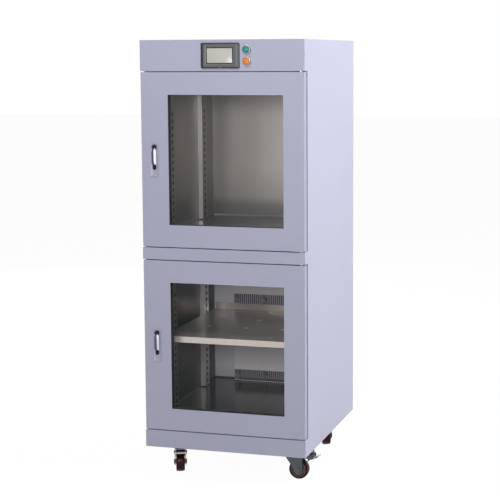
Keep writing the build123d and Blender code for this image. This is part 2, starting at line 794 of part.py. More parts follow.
for colour, level in button_levels.items():
    with BuildPart() as cap:
        with BuildSketch(elevation(front_y - button_bezel_height - button_proud)):
            with Locations((button_x, level)):
                Circle(button_cap / 2)
        extrude(amount=-(button_proud + button_travel))
        fillet(cap.faces().sort_by(Axis.Y)[0].edges(), radius=button_cap_round)
    cap.part.label = f"{colour}_button_cap"
    export_step(cap.part, f"parts/{colour}_button_cap.step")

# Door pivot pins: head inside the rail, bearing collar in the door gap, spigot in the door
pivot_seats = []
for bay_z in bays.values():
    pivot_seats.append((bay_z, 1))
    pivot_seats.append((bay_z + door_bay_height, -1))
with BuildPart() as hinge_pins:
    for seat_z, up in pivot_seats:
        seat = Plane(origin=(pivot_x, pivot_y, seat_z), x_dir=(1, 0, 0), z_dir=(0, 0, up))
        with BuildSketch(seat.offset(-body_sheet)):
            Circle(pin_head / 2)
        extrude(amount=-pin_head_height)
        with BuildSketch(seat.offset(-body_sheet)):
            Circle(pin_diameter / 2)
        extrude(amount=body_sheet + door_gap + pin_length)
        with BuildSketch(seat):
            Circle(pin_head / 2)
        extrude(amount=door_gap - soft_clearance)
hinge_pins.part.label = "hinge_pins"
export_step(hinge_pins.part, "parts/hinge_pins.step")

# The doors, alike in both bays
door_half = half_width - door_side_inset
door_height = door_bay_height - 2 * door_gap
lip_y = front_y + door_skin
glass_y = lip_y + seal_lip
lip_end_y = glass_y + glass_thickness + seal_lip
lip_margin = glass_overlap + seal_wall
back_sheet_y = front_y + door_thickness - door_skin
plate_y = front_y - handle_plate
lever_back_y = plate_y - lever_clearance
lever_pin_y = lever_back_y - lever_pin_depth
cam_y = liner_front_y + 2 * lever_clearance
cam_reach = liner_half + handle_x - cam_wall_gap
for bay, bay_z in bays.items():
    door_z = bay_z + door_gap
    door_top_z = door_z + door_height
    latch_z = latch_levels[bay]
    key_z = latch_z + latch_drop - key_drop

    # Door shell: a pan with folded edges and a welded block at each pivot
    with BuildPart() as door_shell:
        with BuildSketch(elevation(front_y)):
            rectangle_between(-door_half, door_half, door_z, door_top_z)
        extrude(amount=-door_thickness)
        with BuildSketch(elevation(front_y + door_skin)):
            rectangle_between(
                -door_half + door_skin, door_half - door_skin, door_z + door_skin, door_top_z - door_skin
            )
        extrude(amount=-door_thickness, mode=Mode.SUBTRACT)
        with BuildSketch(elevation(front_y)):
            window_rectangle(bay_z, 0)
        extrude(amount=-door_skin, mode=Mode.SUBTRACT)
        for block_z in (door_z, door_top_z - pivot_block_height):
            with BuildSketch(Plane.XY.offset(block_z)):
                rectangle_between(
                    pivot_x - pivot_block / 2, door_half, front_y, front_y + pivot_depth + pivot_block / 2
                )
            extrude(amount=pivot_block_height)
        for hole_z in (door_z, door_top_z - pivot_block_height):
            with BuildSketch(Plane.XY.offset(hole_z)):
                with Locations((pivot_x, pivot_y)):
                    Circle(pin_diameter / 2 + running_clearance)
            extrude(amount=pivot_block_height, mode=Mode.SUBTRACT)
        with BuildSketch(elevation(front_y)):
            with Locations((handle_x, latch_z)):
                Circle(neck_diameter / 2 + seam_clearance)
            with Locations((handle_x, key_z)):
                Circle(neck_diameter / 2 + seam_clearance)
        extrude(amount=-door_skin, mode=Mode.SUBTRACT)
    door_shell.part.label = f"{bay}_door_shell"
    export_step(door_shell.part, f"parts/{bay}_door_shell.step")

    # Inner frame: the sheet that closes the door's back, with a channel folded forward round the
    # window that clamps the glazing seal against the skin
    with BuildPart() as inner_frame:
        frame_half = door_half - door_skin
        with BuildSketch(elevation(back_sheet_y)):
            rectangle_between(-frame_half, frame_half, door_z + door_skin, door_top_z - door_skin)
            window_rectangle(bay_z, 0, Mode.SUBTRACT)
            with Locations((handle_x, latch_z)):
                Circle(neck_diameter / 2 + seam_clearance, mode=Mode.SUBTRACT)
        extrude(amount=-door_skin)
        for ring_margin, ring_y, ring_end_y in (
            (seal_wall + door_skin, lip_end_y, back_sheet_y),
            (lip_margin, lip_end_y, lip_end_y + door_skin),
        ):
            with BuildSketch(elevation(ring_y)):
                window_rectangle(bay_z, ring_margin)
                window_rectangle(bay_z, seal_wall, Mode.SUBTRACT)
            extrude(amount=-(ring_end_y - ring_y))
    inner_frame.part.label = f"{bay}_door_inner_frame"
    export_step(inner_frame.part, f"parts/{bay}_door_inner_frame.step")

    # Window pane
    with BuildPart() as glass:
        with BuildSketch(elevation(glass_y)):
            window_rectangle(bay_z, glass_overlap)
        extrude(amount=-glass_thickness)
    glass.part.label = f"{bay}_door_glass"
    export_step(glass.part, f"parts/{bay}_door_glass.step")

    # Glazing seal: a channel round the pane's edge, with a skirt behind it that lines the reveal
    with BuildPart() as glazing_seal:
        with BuildSketch(elevation(lip_y)):
            window_rectangle(bay_z, lip_margin)
            window_rectangle(bay_z, seal_wall, Mode.SUBTRACT)
        extrude(amount=-(lip_end_y - lip_y))
        with BuildSketch(elevation(glass_y + glass_thickness)):
            window_rectangle(bay_z, seal_wall)
            window_rectangle(bay_z, 0, Mode.SUBTRACT)
        extrude(amount=-(back_sheet_y - glass_y - glass_thickness))
        with BuildSketch(elevation(glass_y)):
            window_rectangle(bay_z, glass_overlap)
        extrude(amount=-glass_thickness, mode=Mode.SUBTRACT)
    glazing_seal.part.label = f"{bay}_glazing_seal"
    export_step(glazing_seal.part, f"parts/{bay}_glazing_seal.step")

    # Magnetic gasket on the door's back
    with BuildPart() as gasket:
        with BuildSketch(elevation(front_y + door_thickness)):
            gasket_half = liner_half + gasket_offset
            gasket_low = bay_z + sill_height - gasket_offset
            gasket_high = gasket_low + liner_height + 2 * gasket_offset
            rectangle_between(
                -gasket_half - gasket_width,
                gasket_half + gasket_width,
                gasket_low - gasket_width,
                gasket_high + gasket_width,
            )
            rectangle_between(-gasket_half, gasket_half, gasket_low, gasket_high, Mode.SUBTRACT)
        extrude(amount=-(bay_depth - door_thickness - soft_clearance))
    gasket.part.label = f"{bay}_door_gasket"
    export_step(gasket.part, f"parts/{bay}_door_gasket.step")

    # Handle base: plate on the door's face, a bearing neck through the door and a key housing
    with BuildPart() as handle_base:
        with BuildSketch(elevation(front_y)):
            with Locations((handle_x, latch_z + latch_drop - handle_height / 2)):
                RectangleRounded(handle_width, handle_height, handle_corner)
        extrude(amount=handle_plate)
        fillet(handle_base.faces().sort_by(Axis.Y)[0].edges(), radius=handle_plate / 4)
        with BuildSketch(elevation(front_y)):
            with Locations((handle_x, latch_z)):
                Circle(neck_diameter / 2)
        extrude(amount=-(door_thickness + seal_wall))
        with BuildSketch(elevation(front_y)):
            with Locations((handle_x, key_z)):
                Circle(neck_diameter / 2)
        extrude(amount=-key_length)
        with BuildSketch(elevation(plate_y)):
            with Locations((handle_x, latch_z)):
                Circle(spindle_diameter / 2 + running_clearance)
        extrude(amount=-(handle_plate + door_thickness + seal_wall), mode=Mode.SUBTRACT)
        with BuildSketch(elevation(plate_y)):
            with Locations((handle_x, latch_z)):
                Circle(rotor_disc / 2 + lever_clearance)
        extrude(amount=-(rotor_disc_thickness + seam_clearance), mode=Mode.SUBTRACT)
        with BuildSketch(elevation(plate_y)):
            with Locations((handle_x, key_z)):
                SlotOverall(key_height + 2 * hook_clearance, key_width + 2 * hook_clearance, rotation=90)
        extrude(amount=-key_length, mode=Mode.SUBTRACT)
    handle_base.part.label = f"{bay}_handle_base"
    export_step(handle_base.part, f"parts/{bay}_handle_base.step")

    # Latch rotor: disc with a tongue and cross pin for the lever, spindle, cam and nut
    with BuildPart() as latch_rotor:
        with BuildSketch(elevation(plate_y)):
            with Locations((handle_x, latch_z)):
                Circle(rotor_disc / 2)
        extrude(amount=-rotor_disc_thickness)
        with BuildSketch(elevation(plate_y)):
            with Locations((handle_x, latch_z)):
                Circle(spindle_diameter / 2)
        extrude(amount=-(cam_y - plate_y))
        with BuildSketch(elevation(cam_y)):
            with Locations((handle_x, latch_z)):
                Circle(spindle_end / 2)
        extrude(amount=-(cam_thickness + nut_height))
        with BuildSketch(Plane.YZ.offset(handle_x)):
            rectangle_between(lever_pin_y, plate_y, latch_z - lever_eye, latch_z + lever_eye)
            with Locations((lever_pin_y, latch_z)):
                Circle(lever_eye)
        extrude(amount=tongue_width / 2, both=True)
        with BuildSketch(Plane.YZ.offset(handle_x)):
            with Locations((lever_pin_y, latch_z)):
                Circle(lever_pin / 2)
        extrude(amount=lever_width / 2 - door_skin, both=True)
        with BuildSketch(elevation(cam_y)):
            cam_separation = cam_reach - cam_width / 2
            with Locations((handle_x, latch_z + cam_separation / 2)):
                SlotCenterToCenter(cam_separation, cam_width, rotation=90)
        extrude(amount=-cam_thickness)
        with BuildSketch(elevation(cam_y + cam_thickness)):
            with Locations((handle_x, latch_z)):
                RegularPolygon(nut_across / 2, 6, major_radius=False)
        extrude(amount=-nut_height)
    latch_rotor.part.label = f"{bay}_latch_rotor"
    export_step(latch_rotor.part, f"parts/{bay}_latch_rotor.step")

    # Lever: an arched grip, slotted over the rotor's tongue and scooped behind for the fingers
    with BuildPart() as lever:
        lever_top_z = latch_z + lever_pin_depth
        lever_end_z = latch_z - lever_length
        edge_y = lever_back_y - lever_edge
        with BuildSketch(Plane.YZ.offset(handle_x)):
            with BuildLine():
                CenterArc((lever_pin_y, latch_z), lever_pin_depth, 0, 90)
                Line((lever_pin_y, lever_top_z), (edge_y, lever_top_z))
                ThreePointArc(
                    (edge_y, lever_top_z),
                    (lever_back_y - lever_crown, (lever_top_z + lever_end_z) / 2),
                    (edge_y, lever_end_z),
                )
                Line((edge_y, lever_end_z), (lever_back_y, lever_end_z))
                Line((lever_back_y, lever_end_z), (lever_back_y, lever_end_z + lever_pin))
                ThreePointArc(
                    (lever_back_y, lever_end_z + lever_pin),
                    (lever_back_y - lever_edge / 3, latch_z - lever_length / 2),
                    (lever_back_y, latch_z - lever_length / 4),
                )
                Line((lever_back_y, latch_z - lever_length / 4), (lever_back_y, latch_z))
            make_face()
        extrude(amount=lever_width / 2, both=True)
        with BuildSketch(Plane.YZ.offset(handle_x)):
            slot_half = lever_eye + lever_clearance / 2
            slot_top_z = lever_top_z + lever_eye
            rectangle_between(
                lever_pin_y - slot_half, lever_back_y + lever_clearance, latch_z - slot_half, slot_top_z
            )
        extrude(amount=tongue_width / 2 + lever_clearance / 2, both=True, mode=Mode.SUBTRACT)
        with BuildSketch(Plane.YZ.offset(handle_x)):
            with Locations((lever_pin_y, latch_z)):
                Circle(lever_pin / 2 + running_clearance)
        extrude(amount=lever_width / 2, both=True, mode=Mode.SUBTRACT)
    lever.part.label = f"{bay}_handle_lever"
    export_step(lever.part, f"parts/{bay}_handle_lever.step")

    # Push button that frees the lever
    with BuildPart() as key_button:
        with BuildSketch(elevation(plate_y - key_proud)):
            with Locations((handle_x, key_z)):
                SlotOverall(key_height, key_width, rotation=90)
        extrude(amount=-(key_proud + key_length - key_travel - seal_lip))
    key_button.part.label = f"{bay}_handle_button"
    export_step(key_button.part, f"parts/{bay}_handle_button.step")

# Casters. Each has a fixed plate with kingpin, a swivelling fork that carries the axle and the
# brake's pin, a wheel of hub and tyre, and a brake pedal. Headings are the trailing directions.
headings = {
    "front_left": (-caster_x, caster_front_y, -69.0),
    "front_right": (caster_x, caster_front_y, 0.0),
    "rear_left": (-caster_x, caster_rear_y, 180.0),
    "rear_right": (caster_x, caster_rear_y, -69.0),
}
plate_z = base_z - caster_plate_thickness
raceway_z = plate_z - raceway_height
crown_z = raceway_z - soft_clearance
crown_low_z = crown_z - fork_sheet
wheel_radius = wheel_diameter / 2
hub_radius = wheel_radius - tyre_wall
fork_half = fork_gap / 2 + fork_sheet
with BuildPart() as caster_plates:
    with BuildSketch(Plane.XY.offset(plate_z)):
        with Locations(caster_places):
            RectangleRounded(*caster_plate, caster_bolt)
        for place in caster_places:
            with Locations(place):
                with GridLocations(*caster_bolt_spacing, 2, 2):
                    Circle(caster_bolt / 2 + seam_clearance, mode=Mode.SUBTRACT)
    extrude(amount=caster_plate_thickness)
    for depth, diameter in (
        (raceway_height, raceway_diameter),
        (raceway_height + fork_sheet + 2 * soft_clearance, kingpin),
    ):
        with BuildSketch(Plane.XY.offset(plate_z)):
            with Locations(caster_places):
                Circle(diameter / 2)
        extrude(amount=-depth)
    with BuildSketch(Plane.XY.offset(crown_low_z - soft_clearance)):
        with Locations(caster_places):
            Circle(kingpin_head / 2)
    extrude(amount=-fork_sheet)
    with BuildSketch(Plane.XY.offset(plate_z)):
        for place in caster_places:
            with Locations(place):
                with GridLocations(*caster_bolt_spacing, 2, 2):
                    RegularPolygon(nut_across / 2, 6, major_radius=False)
    extrude(amount=-nut_height)
    with BuildSketch(Plane.XY.offset(plate_z)):
        for place in caster_places:
            with Locations(place):
                with GridLocations(*caster_bolt_spacing, 2, 2):
                    Circle(caster_bolt / 2)
    extrude(amount=caster_plate_thickness + floor_sheet + caster_pad + nut_height)
    with BuildSketch(Plane.XY.offset(base_z + floor_sheet + caster_pad)):
        for place in caster_places:
            with Locations(place):
                with GridLocations(*caster_bolt_spacing, 2, 2):
                    RegularPolygon(nut_across / 2, 6, major_radius=False)
    extrude(amount=nut_height)
caster_plates.part.label = "caster_plates"
export_step(caster_plates.part, "parts/caster_plates.step")

for corner, (swivel_x, swivel_y, heading) in headings.items():
    along = (cos(radians(heading)), sin(radians(heading)), 0)
    across = (sin(radians(heading)), -cos(radians(heading)), 0)
    side_plane = Plane(origin=(swivel_x, swivel_y, 0), x_dir=along, z_dir=across)
    top_plane = Plane(origin=(swivel_x, swivel_y, 0), x_dir=along, z_dir=(0, 0, 1))

    with BuildPart() as fork:
        with BuildSketch(side_plane):
            with BuildLine():
                Polyline(
                    (-raceway_diameter / 2, crown_z),
                    (-raceway_diameter / 2, crown_low_z - fork_sheet),
                    (trail - fork_foot, wheel_radius + fork_sheet),
                    (trail - fork_toe, wheel_radius - fork_toe),
                    (trail + fork_toe, wheel_radius - fork_toe),
                    (trail + fork_foot, wheel_radius + fork_sheet),
                    (trail + fork_foot, crown_low_z - fork_foot),
                    (pedal_pivot[0], pedal_pivot[1] - pedal_ear),
                    (pedal_pivot[0], pedal_pivot[1] + pedal_ear),
                    (raceway_diameter / 2 + fork_sheet, crown_z),
                    close=True,
                )
            make_face()
            with Locations(pedal_pivot):
                Circle(pedal_ear)
        extrude(amount=fork_half, both=True)
        with BuildSketch(side_plane):
            rectangle_between(-raceway_diameter, pedal_tip[0], 0, crown_low_z)
        extrude(amount=fork_gap / 2, both=True, mode=Mode.SUBTRACT)
        with BuildSketch(side_plane):
            rectangle_between(raceway_diameter / 2, pedal_tip[0], 0, crown_z)
        extrude(amount=fork_gap / 2, both=True, mode=Mode.SUBTRACT)
        with BuildSketch(top_plane.offset(crown_low_z)):
            Circle(kingpin / 2 + running_clearance)
        extrude(amount=fork_sheet, mode=Mode.SUBTRACT)
        with BuildSketch(side_plane):
            with Locations((trail, wheel_radius)):
                Circle(axle_diameter / 2 + seam_clearance)
            with Locations(pedal_pivot):
                Circle(pedal_pin / 2 + seam_clearance)
        extrude(amount=fork_half, both=True, mode=Mode.SUBTRACT)
        with BuildSketch(side_plane):
            with Locations((trail, wheel_radius)):
                Circle(axle_diameter / 2)
            with Locations(pedal_pivot):
                Circle(pedal_pin / 2)
        extrude(amount=fork_half, both=True)
        for side in (-1, 1):
            with BuildSketch(side_plane.offset(side * fork_half)):
                with Locations((trail, wheel_radius)):
                    RegularPolygon(axle_nut / 2, 6, major_radius=False)
                with Locations(pedal_pivot):
                    Circle(pedal_nut / 2)
            extrude(amount=side * axle_nut_height / 2)
    fork.part.label = f"{corner}_fork"
    export_step(fork.part, f"parts/{corner}_fork.step")

    with BuildPart() as hub:
        with BuildSketch(side_plane):
            with Locations((trail, wheel_radius)):
                Circle(hub_radius)
        extrude(amount=wheel_width / 2 - fork_sheet, both=True)
        with BuildSketch(side_plane):
            with Locations((trail, wheel_radius)):
                Circle(axle_diameter)
        extrude(amount=fork_gap / 2 - soft_clearance, both=True)
        with BuildSketch(side_plane):
            with Locations((trail, wheel_radius)):
                Circle(axle_diameter / 2 + running_clearance)
        extrude(amount=fork_gap, both=True, mode=Mode.SUBTRACT)
    hub.part.label = f"{corner}_wheel_hub"
    export_step(hub.part, f"parts/{corner}_wheel_hub.step")

    with BuildPart() as tyre:
        with BuildSketch(side_plane):
            with Locations((trail, wheel_radius)):
                Circle(wheel_radius)
                Circle(hub_radius, mode=Mode.SUBTRACT)
        extrude(amount=wheel_width / 2, both=True)
        tread_edges = tyre.edges().filter_by(GeomType.CIRCLE).sort_by(SortBy.RADIUS)[-2:]
        chamfer(tread_edges, length=fork_sheet)
    tyre.part.label = f"{corner}_tyre"
    export_step(tyre.part, f"parts/{corner}_tyre.step")

    bend_u, bend_z = pedal_bend
    tip_u, tip_z = pedal_tip
    with BuildPart() as pedal_tab:
        with BuildSketch(side_plane):
            with BuildLine():
                Polyline(
                    pedal_bend,
                    pedal_tip,
                    (tip_u, tip_z + pedal_sheet),
                    (bend_u, bend_z + pedal_sheet),
                    close=True,
                )
            make_face()
        extrude(amount=pedal_width / 2, both=True)
        with BuildSketch(top_plane):
            with Locations((bend_u, 0)):
                RectangleRounded(2 * (tip_u - bend_u), pedal_width, pedal_corner)
        extrude(amount=tip_z + 2 * pedal_sheet, mode=Mode.INTERSECT)
    with BuildPart() as brake_pedal:
        with BuildSketch(side_plane):
            with BuildLine():
                Polyline(
                    (pedal_pivot[0] - pedal_boss / 2, pedal_pivot[1]),
                    pedal_shoe,
                    (pedal_pivot[0], pedal_pivot[1] - pedal_boss / 2),
                    pedal_bend,
                    (bend_u, bend_z + pedal_sheet),
                    pedal_pivot,
                    close=True,
                )
            make_face()
            with Locations(pedal_pivot):
                Circle(pedal_boss / 2)
        extrude(amount=fork_gap / 2 - pedal_side_gap, both=True)
        add(pedal_tab)
        with BuildSketch(side_plane):
            with Locations(pedal_pivot):
                Circle(pedal_pin / 2 + running_clearance)
        extrude(amount=fork_gap, both=True, mode=Mode.SUBTRACT)
    brake_pedal.part.label = f"{corner}_brake_pedal"
    export_step(brake_pedal.part, f"parts/{corner}_brake_pedal.step")
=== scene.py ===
import json
import math

import bmesh
import bpy
import numpy as np
from mathutils import Matrix, Vector


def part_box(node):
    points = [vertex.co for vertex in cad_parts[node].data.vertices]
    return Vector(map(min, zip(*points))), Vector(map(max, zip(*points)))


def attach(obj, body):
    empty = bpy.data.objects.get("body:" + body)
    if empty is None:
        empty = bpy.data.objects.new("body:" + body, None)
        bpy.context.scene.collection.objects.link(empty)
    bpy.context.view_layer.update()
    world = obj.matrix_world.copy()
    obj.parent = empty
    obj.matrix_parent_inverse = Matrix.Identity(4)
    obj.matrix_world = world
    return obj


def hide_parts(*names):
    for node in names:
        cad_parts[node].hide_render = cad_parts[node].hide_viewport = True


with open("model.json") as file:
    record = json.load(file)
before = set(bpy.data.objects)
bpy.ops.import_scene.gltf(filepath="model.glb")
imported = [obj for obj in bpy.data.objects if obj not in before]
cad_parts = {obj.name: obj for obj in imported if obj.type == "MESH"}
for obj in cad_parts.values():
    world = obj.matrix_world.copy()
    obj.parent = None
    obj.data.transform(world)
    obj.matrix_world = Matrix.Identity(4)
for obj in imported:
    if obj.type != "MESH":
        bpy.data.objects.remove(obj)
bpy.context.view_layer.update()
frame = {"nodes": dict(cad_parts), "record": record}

scene = bpy.context.scene
joints = {joint["name"]: joint for joint in frame["record"]["behaviour"]["joints"]}
corners = ("front_left", "front_right", "rear_left", "rear_right")
mm = 0.001


def camel(name):
    return name.replace("_", " ").title().replace(" ", "")


def forkLine(corner):
    # A caster's swivel, its pedal pin, and the level direction from one to the other
    swivel, pin = (np.array(joints[f"{corner}_{joint}"]["pos_m"]) for joint in ("swivel", "brake_press"))
    along = (pin - swivel) * (1, 1, 0)
    return swivel, pin, along / np.linalg.norm(along)


# Shader helpers: Wire wraps a socket so that maths on patterns reads as an expression,
# and Finish makes one material.
class Wire:
    def __init__(self, finish, socket):
        self.finish = finish
        self.socket = socket

    def maths(self, operation, other=None, flipped=False):
        values = [self] if other is None else [other, self] if flipped else [self, other]
        return self.finish.node("ShaderNodeMath", {"operation": operation}, dict(enumerate(values)))

    def ramp(self, slope, offset):
        # slope * value + offset, kept from 0 to 1
        settings = {"operation": "MULTIPLY_ADD", "use_clamp": True}
        return self.finish.node("ShaderNodeMath", settings, {0: self, 1: slope, 2: offset})

    def __add__(self, other):
        return self.maths("ADD", other)

    def __radd__(self, other):
        return self.maths("ADD", other, True)

    def __sub__(self, other):
        return self.maths("SUBTRACT", other)

    def __rsub__(self, other):
        return self.maths("SUBTRACT", other, True)

    def __mul__(self, other):
        return self.maths("MULTIPLY", other)

    def __gt__(self, other):
        return self.maths("GREATER_THAN", other)

    def __lt__(self, other):
        return self.maths("LESS_THAN", other)


class Finish:
    def __init__(self, name):
        self.material = bpy.data.materials.new(name)
        self.material.use_nodes = True
        self.tree = self.material.node_tree
        self.tree.nodes.clear()
        self.output = self.tree.nodes.new("ShaderNodeOutputMaterial")

    def node(self, kind, settings=None, inputs=None, out=0):
        made = self.tree.nodes.new(kind)
        for name, value in (settings or {}).items():
            if name == "stops":
                ramp = made.color_ramp
                while len(ramp.elements) < len(value):
                    ramp.elements.new(0.5)
                for element, (place, colour) in zip(ramp.elements, value):
                    element.position = place
                    element.color = colour
            else:
                setattr(made, name, value)
        for name, value in (inputs or {}).items():
            if isinstance(value, Wire):
                self.tree.links.new(value.socket, made.inputs[name])
            else:
                made.inputs[name].default_value = value
        return Wire(self, made.outputs[out])

    def place(self, stretch=(1, 1, 1)):
        where = self.node("ShaderNodeTexCoord", out="Object")
        return self.node("ShaderNodeMapping", {}, {"Vector": where, "Scale": stretch})

    def axis(self, index):
        # 0 runs to the right, 1 to the back and 2 up
        return self.node("ShaderNodeSeparateXYZ", {}, {0: self.place()}, out=index)

    def noise(self, scale, detail=2.0, stretch=(1, 1, 1)):
        return self.node(
            "ShaderNodeTexNoise", {}, {"Vector": self.place(stretch), "Scale": scale, "Detail": detail}
        )

    def blend(self, amount, low, high):
        return self.node("ShaderNodeMix", {"data_type": "RGBA"}, {0: amount, 6: low, 7: high}, out=2)

    def bump(self, height, strength, distance):
        return self.node("ShaderNodeBump", {}, {"Height": height, "Strength": strength, "Distance": distance})

    def done(self, **inputs):
        named = {name.replace("_", " "): value for name, value in inputs.items()}
        shader = self.node("ShaderNodeBsdfPrincipled", {}, named)
        self.tree.links.new(shader.socket, self.output.inputs[0])
        return self.material


def rgb(red, green, blue):
    # Linear colour from the usual 0 to 255 values
    values = [channel / 255 for channel in (red, green, blue)]
    linear = [c / 12.92 if c <= 0.04045 else ((c + 0.055) / 1.055) ** 2.4 for c in values]
    return (*linear, 1.0)


def scaled(colour, factor):
    return (*[channel * factor for channel in colour[:3]], 1.0)


# Powder coat: broad cloud in the colour, orange peel and fine speck in the surface. The front colour is the body
# paint made darker, painted shade on the front faces
paint = {
    "body": rgb(178, 179, 200), "front": rgb(163, 164, 184), "cloudLow": 0.965, "cloudHigh": 1.03,
    "cloudScale": 2.4, "peelScale": 620, "speckScale": 2600, "peelStrength": 0.12, "roughness": 0.5,
}


def paintedSteel(name, colour):
    finish = Finish(name)
    cloud = finish.noise(paint["cloudScale"], 3)
    peel = finish.noise(paint["peelScale"], 2)
    speck = finish.noise(paint["speckScale"], 1)
    return finish.done(
        Base_Color=finish.blend(cloud, scaled(colour, paint["cloudLow"]), scaled(colour, paint["cloudHigh"])),
        Roughness=paint["roughness"] + (peel - 0.5) * 0.08 + (cloud - 0.5) * 0.05,
        Normal=finish.bump(peel * 0.8 + speck * 0.2, paint["peelStrength"], 0.0003),
        Specular_IOR_Level=0.42,
    )


# Brushed steel: the grain is drawn out along the axis with the small stretch
steel = {
    "grainUp": (1, 1, 0.02), "grainAcross": (0.02, 1, 1), "grainScale": 700, "broadScale": 5, "grainDepth": 0.14,
    # The dark colour serves for random grime and for the painted shade behind the pilasters
    "toneLow": 0.82, "toneHigh": 1.1, "grimeAndShade": rgb(20, 20, 20), "grimeShare": 0.25,
}


def steelGrain(finish, stretch):
    # Grain is noise drawn out along one axis, over a broad cloud
    grain = finish.noise(steel["grainScale"], 3, stretch)
    broad = finish.noise(steel["broadScale"], 3, tuple(0.3 + 0.7 * axis for axis in stretch))
    return grain, grain * 0.55 + broad * 0.45


def steelBump(finish, grain):
    return finish.bump(grain, steel["grainDepth"], 0.0002)


def brushedSteel(name, stretch, colour, roughness, metallic=1.0):
    finish = Finish(name)
    grain, tone = steelGrain(finish, stretch)
    return finish.done(
        Base_Color=finish.blend(tone, scaled(colour, steel["toneLow"]), scaled(colour, steel["toneHigh"])),
        Metallic=metallic,
        Roughness=roughness + (grain - 0.5) * 0.16,
        Normal=steelBump(finish, grain),
    )


# Duct cover: a near-white colour that is painted light, and a shade colour for the slot bands that is painted
# shade
duct = {
    "colour": rgb(252, 245, 250), "toneHigh": 1.05, "metallic": 0.05, "roughness": 0.4,
    "bands": ((0.2195, 0.2625), (0.5265, 0.5695)), "shade": rgb(64, 58, 76), "amount": 0.84,
}


def ductSteelLit():
    # Satin cover, painted near white as painted light, and darker along the two bands of slots where the dry air
    # passes, as painted shade of the slot openings
    finish = Finish("ductSteelLit")
    grain, tone = steelGrain(finish, steel["grainUp"])
    height = finish.axis(2)
    lowBand, highBand = ((height > low) * (height < high) for low, high in duct["bands"])
    clean = finish.blend(
        tone, scaled(duct["colour"], steel["toneLow"]), scaled(duct["colour"], duct["toneHigh"])
    )
    return finish.done(
        Base_Color=finish.blend((lowBand + highBand) * duct["amount"], clean, duct["shade"]),
        Metallic=duct["metallic"],
        Roughness=duct["roughness"] + (grain - 0.5) * 0.16,
        Normal=steelBump(finish, grain),
    )


# Pilasters: |x| of the face, hole rows by height, and the middle of each strip by depth, in metres. The colours
# are painted light and shade: lit flanges, a shaded upper bay, a lit lower bay and a shaded front row
pilaster = {
    "flangeLit": rgb(206, 200, 200), "upper": rgb(134, 129, 128), "lower": rgb(240, 234, 236),
    "front": rgb(128, 124, 124), "holeShade": rgb(12, 12, 12), "faceTo": 0.2504, "bayEdge": 0.8,
    "hole": 0.0078, "pitch": 0.025, "rows": 17, "firstHoles": (0.236, 0.9), "middles": (-0.1687, 0.1788),
    "metallic": 0.55, "roughness": 0.36,
}


def pilasterPaintedLight():
    # Satin strip with painted shade in and round each hole, by distance from the nearest hole
    finish = Finish("pilasterPaintedLight")
    grain, tone = steelGrain(finish, steel["grainUp"])
    aside, depth, height = finish.axis(0).maths("ABSOLUTE"), finish.axis(1), finish.axis(2)
    front, back = ((depth - middle).maths("ABSOLUTE") for middle in pilaster["middles"])
    along = front.maths("MINIMUM", back)
    # Painted shade: dark discs over each hole and its edge
    holeShadeSpots = []
    for first in pilaster["firstHoles"]:
        steps = (height - first) * (1 / pilaster["pitch"])
        off = (steps - steps.maths("ROUND")) * pilaster["pitch"]
        inside = (steps > -0.5) * (steps < pilaster["rows"] - 0.5)
        holeShadeSpots.append(((along * along + off * off).maths("SQRT") < pilaster["hole"]) * inside)
    # Painted light and shade: a darker colour for the upper bay, a lighter one for the lower bay, lit flanges and
    # a shaded front row
    face = finish.blend(height < pilaster["bayEdge"], pilaster["upper"], pilaster["lower"])
    own = finish.blend(aside < pilaster["faceTo"], pilaster["flangeLit"], face)
    own = finish.blend(depth < 0, own, pilaster["front"])
    shade = finish.blend(tone * steel["grimeShare"], own, steel["grimeAndShade"])
    return finish.done(
        Base_Color=finish.blend(holeShadeSpots[0] + holeShadeSpots[1], shade, pilaster["holeShade"]),
        Metallic=pilaster["metallic"],
        Roughness=pilaster["roughness"] + (grain - 0.5) * 0.14,
        Normal=steelBump(finish, grain),
        Specular_IOR_Level=0.1,
    )


# Liners: bands are (share of the wall's height, brightness) up the rear wall, painted shade and reflection, and
# leftShade is how much of its brightness the rear wall keeps at the left corner, painted shade. Each bay's colours
# are painted light and shade
liner = {
    "rearFrom": 0.326, "wallHeight": 0.53, "bandShade": rgb(30, 30, 30), "cornerSlope": 5.0,
    "cornerOffset": 1.25, "shadeBehindPilaster": 0.021, "stripFoot": 0.003, "rearGrime": 0.08, "roughness": 0.32,
}
# Each bay's side, rear and floor colours are painted light and shade: shaded side walls, a lit rear wall and a lit
# floor
bays = {
    "upper": {
        "side": rgb(110, 106, 105), "rear": rgb(206, 199, 195), "floor": rgb(152, 158, 164),
        "floorTop": 0.884, "satin": 0.5, "leftShade": 0.62,
        "bands": [(0.0, 0.35), (0.07, 0.42), (0.14, 0.8), (0.35, 0.95), (0.75, 0.85), (1.0, 0.4)],
    },
    "lower": {
        "side": rgb(66, 65, 66), "rear": rgb(240, 236, 246), "floor": rgb(66, 65, 66),
        "floorTop": 0.22, "satin": 0.92, "leftShade": 1.0,
        "bands": [(0.0, 0.6), (0.1, 0.9), (0.6, 1.0), (1.0, 1.0)],
    },
}


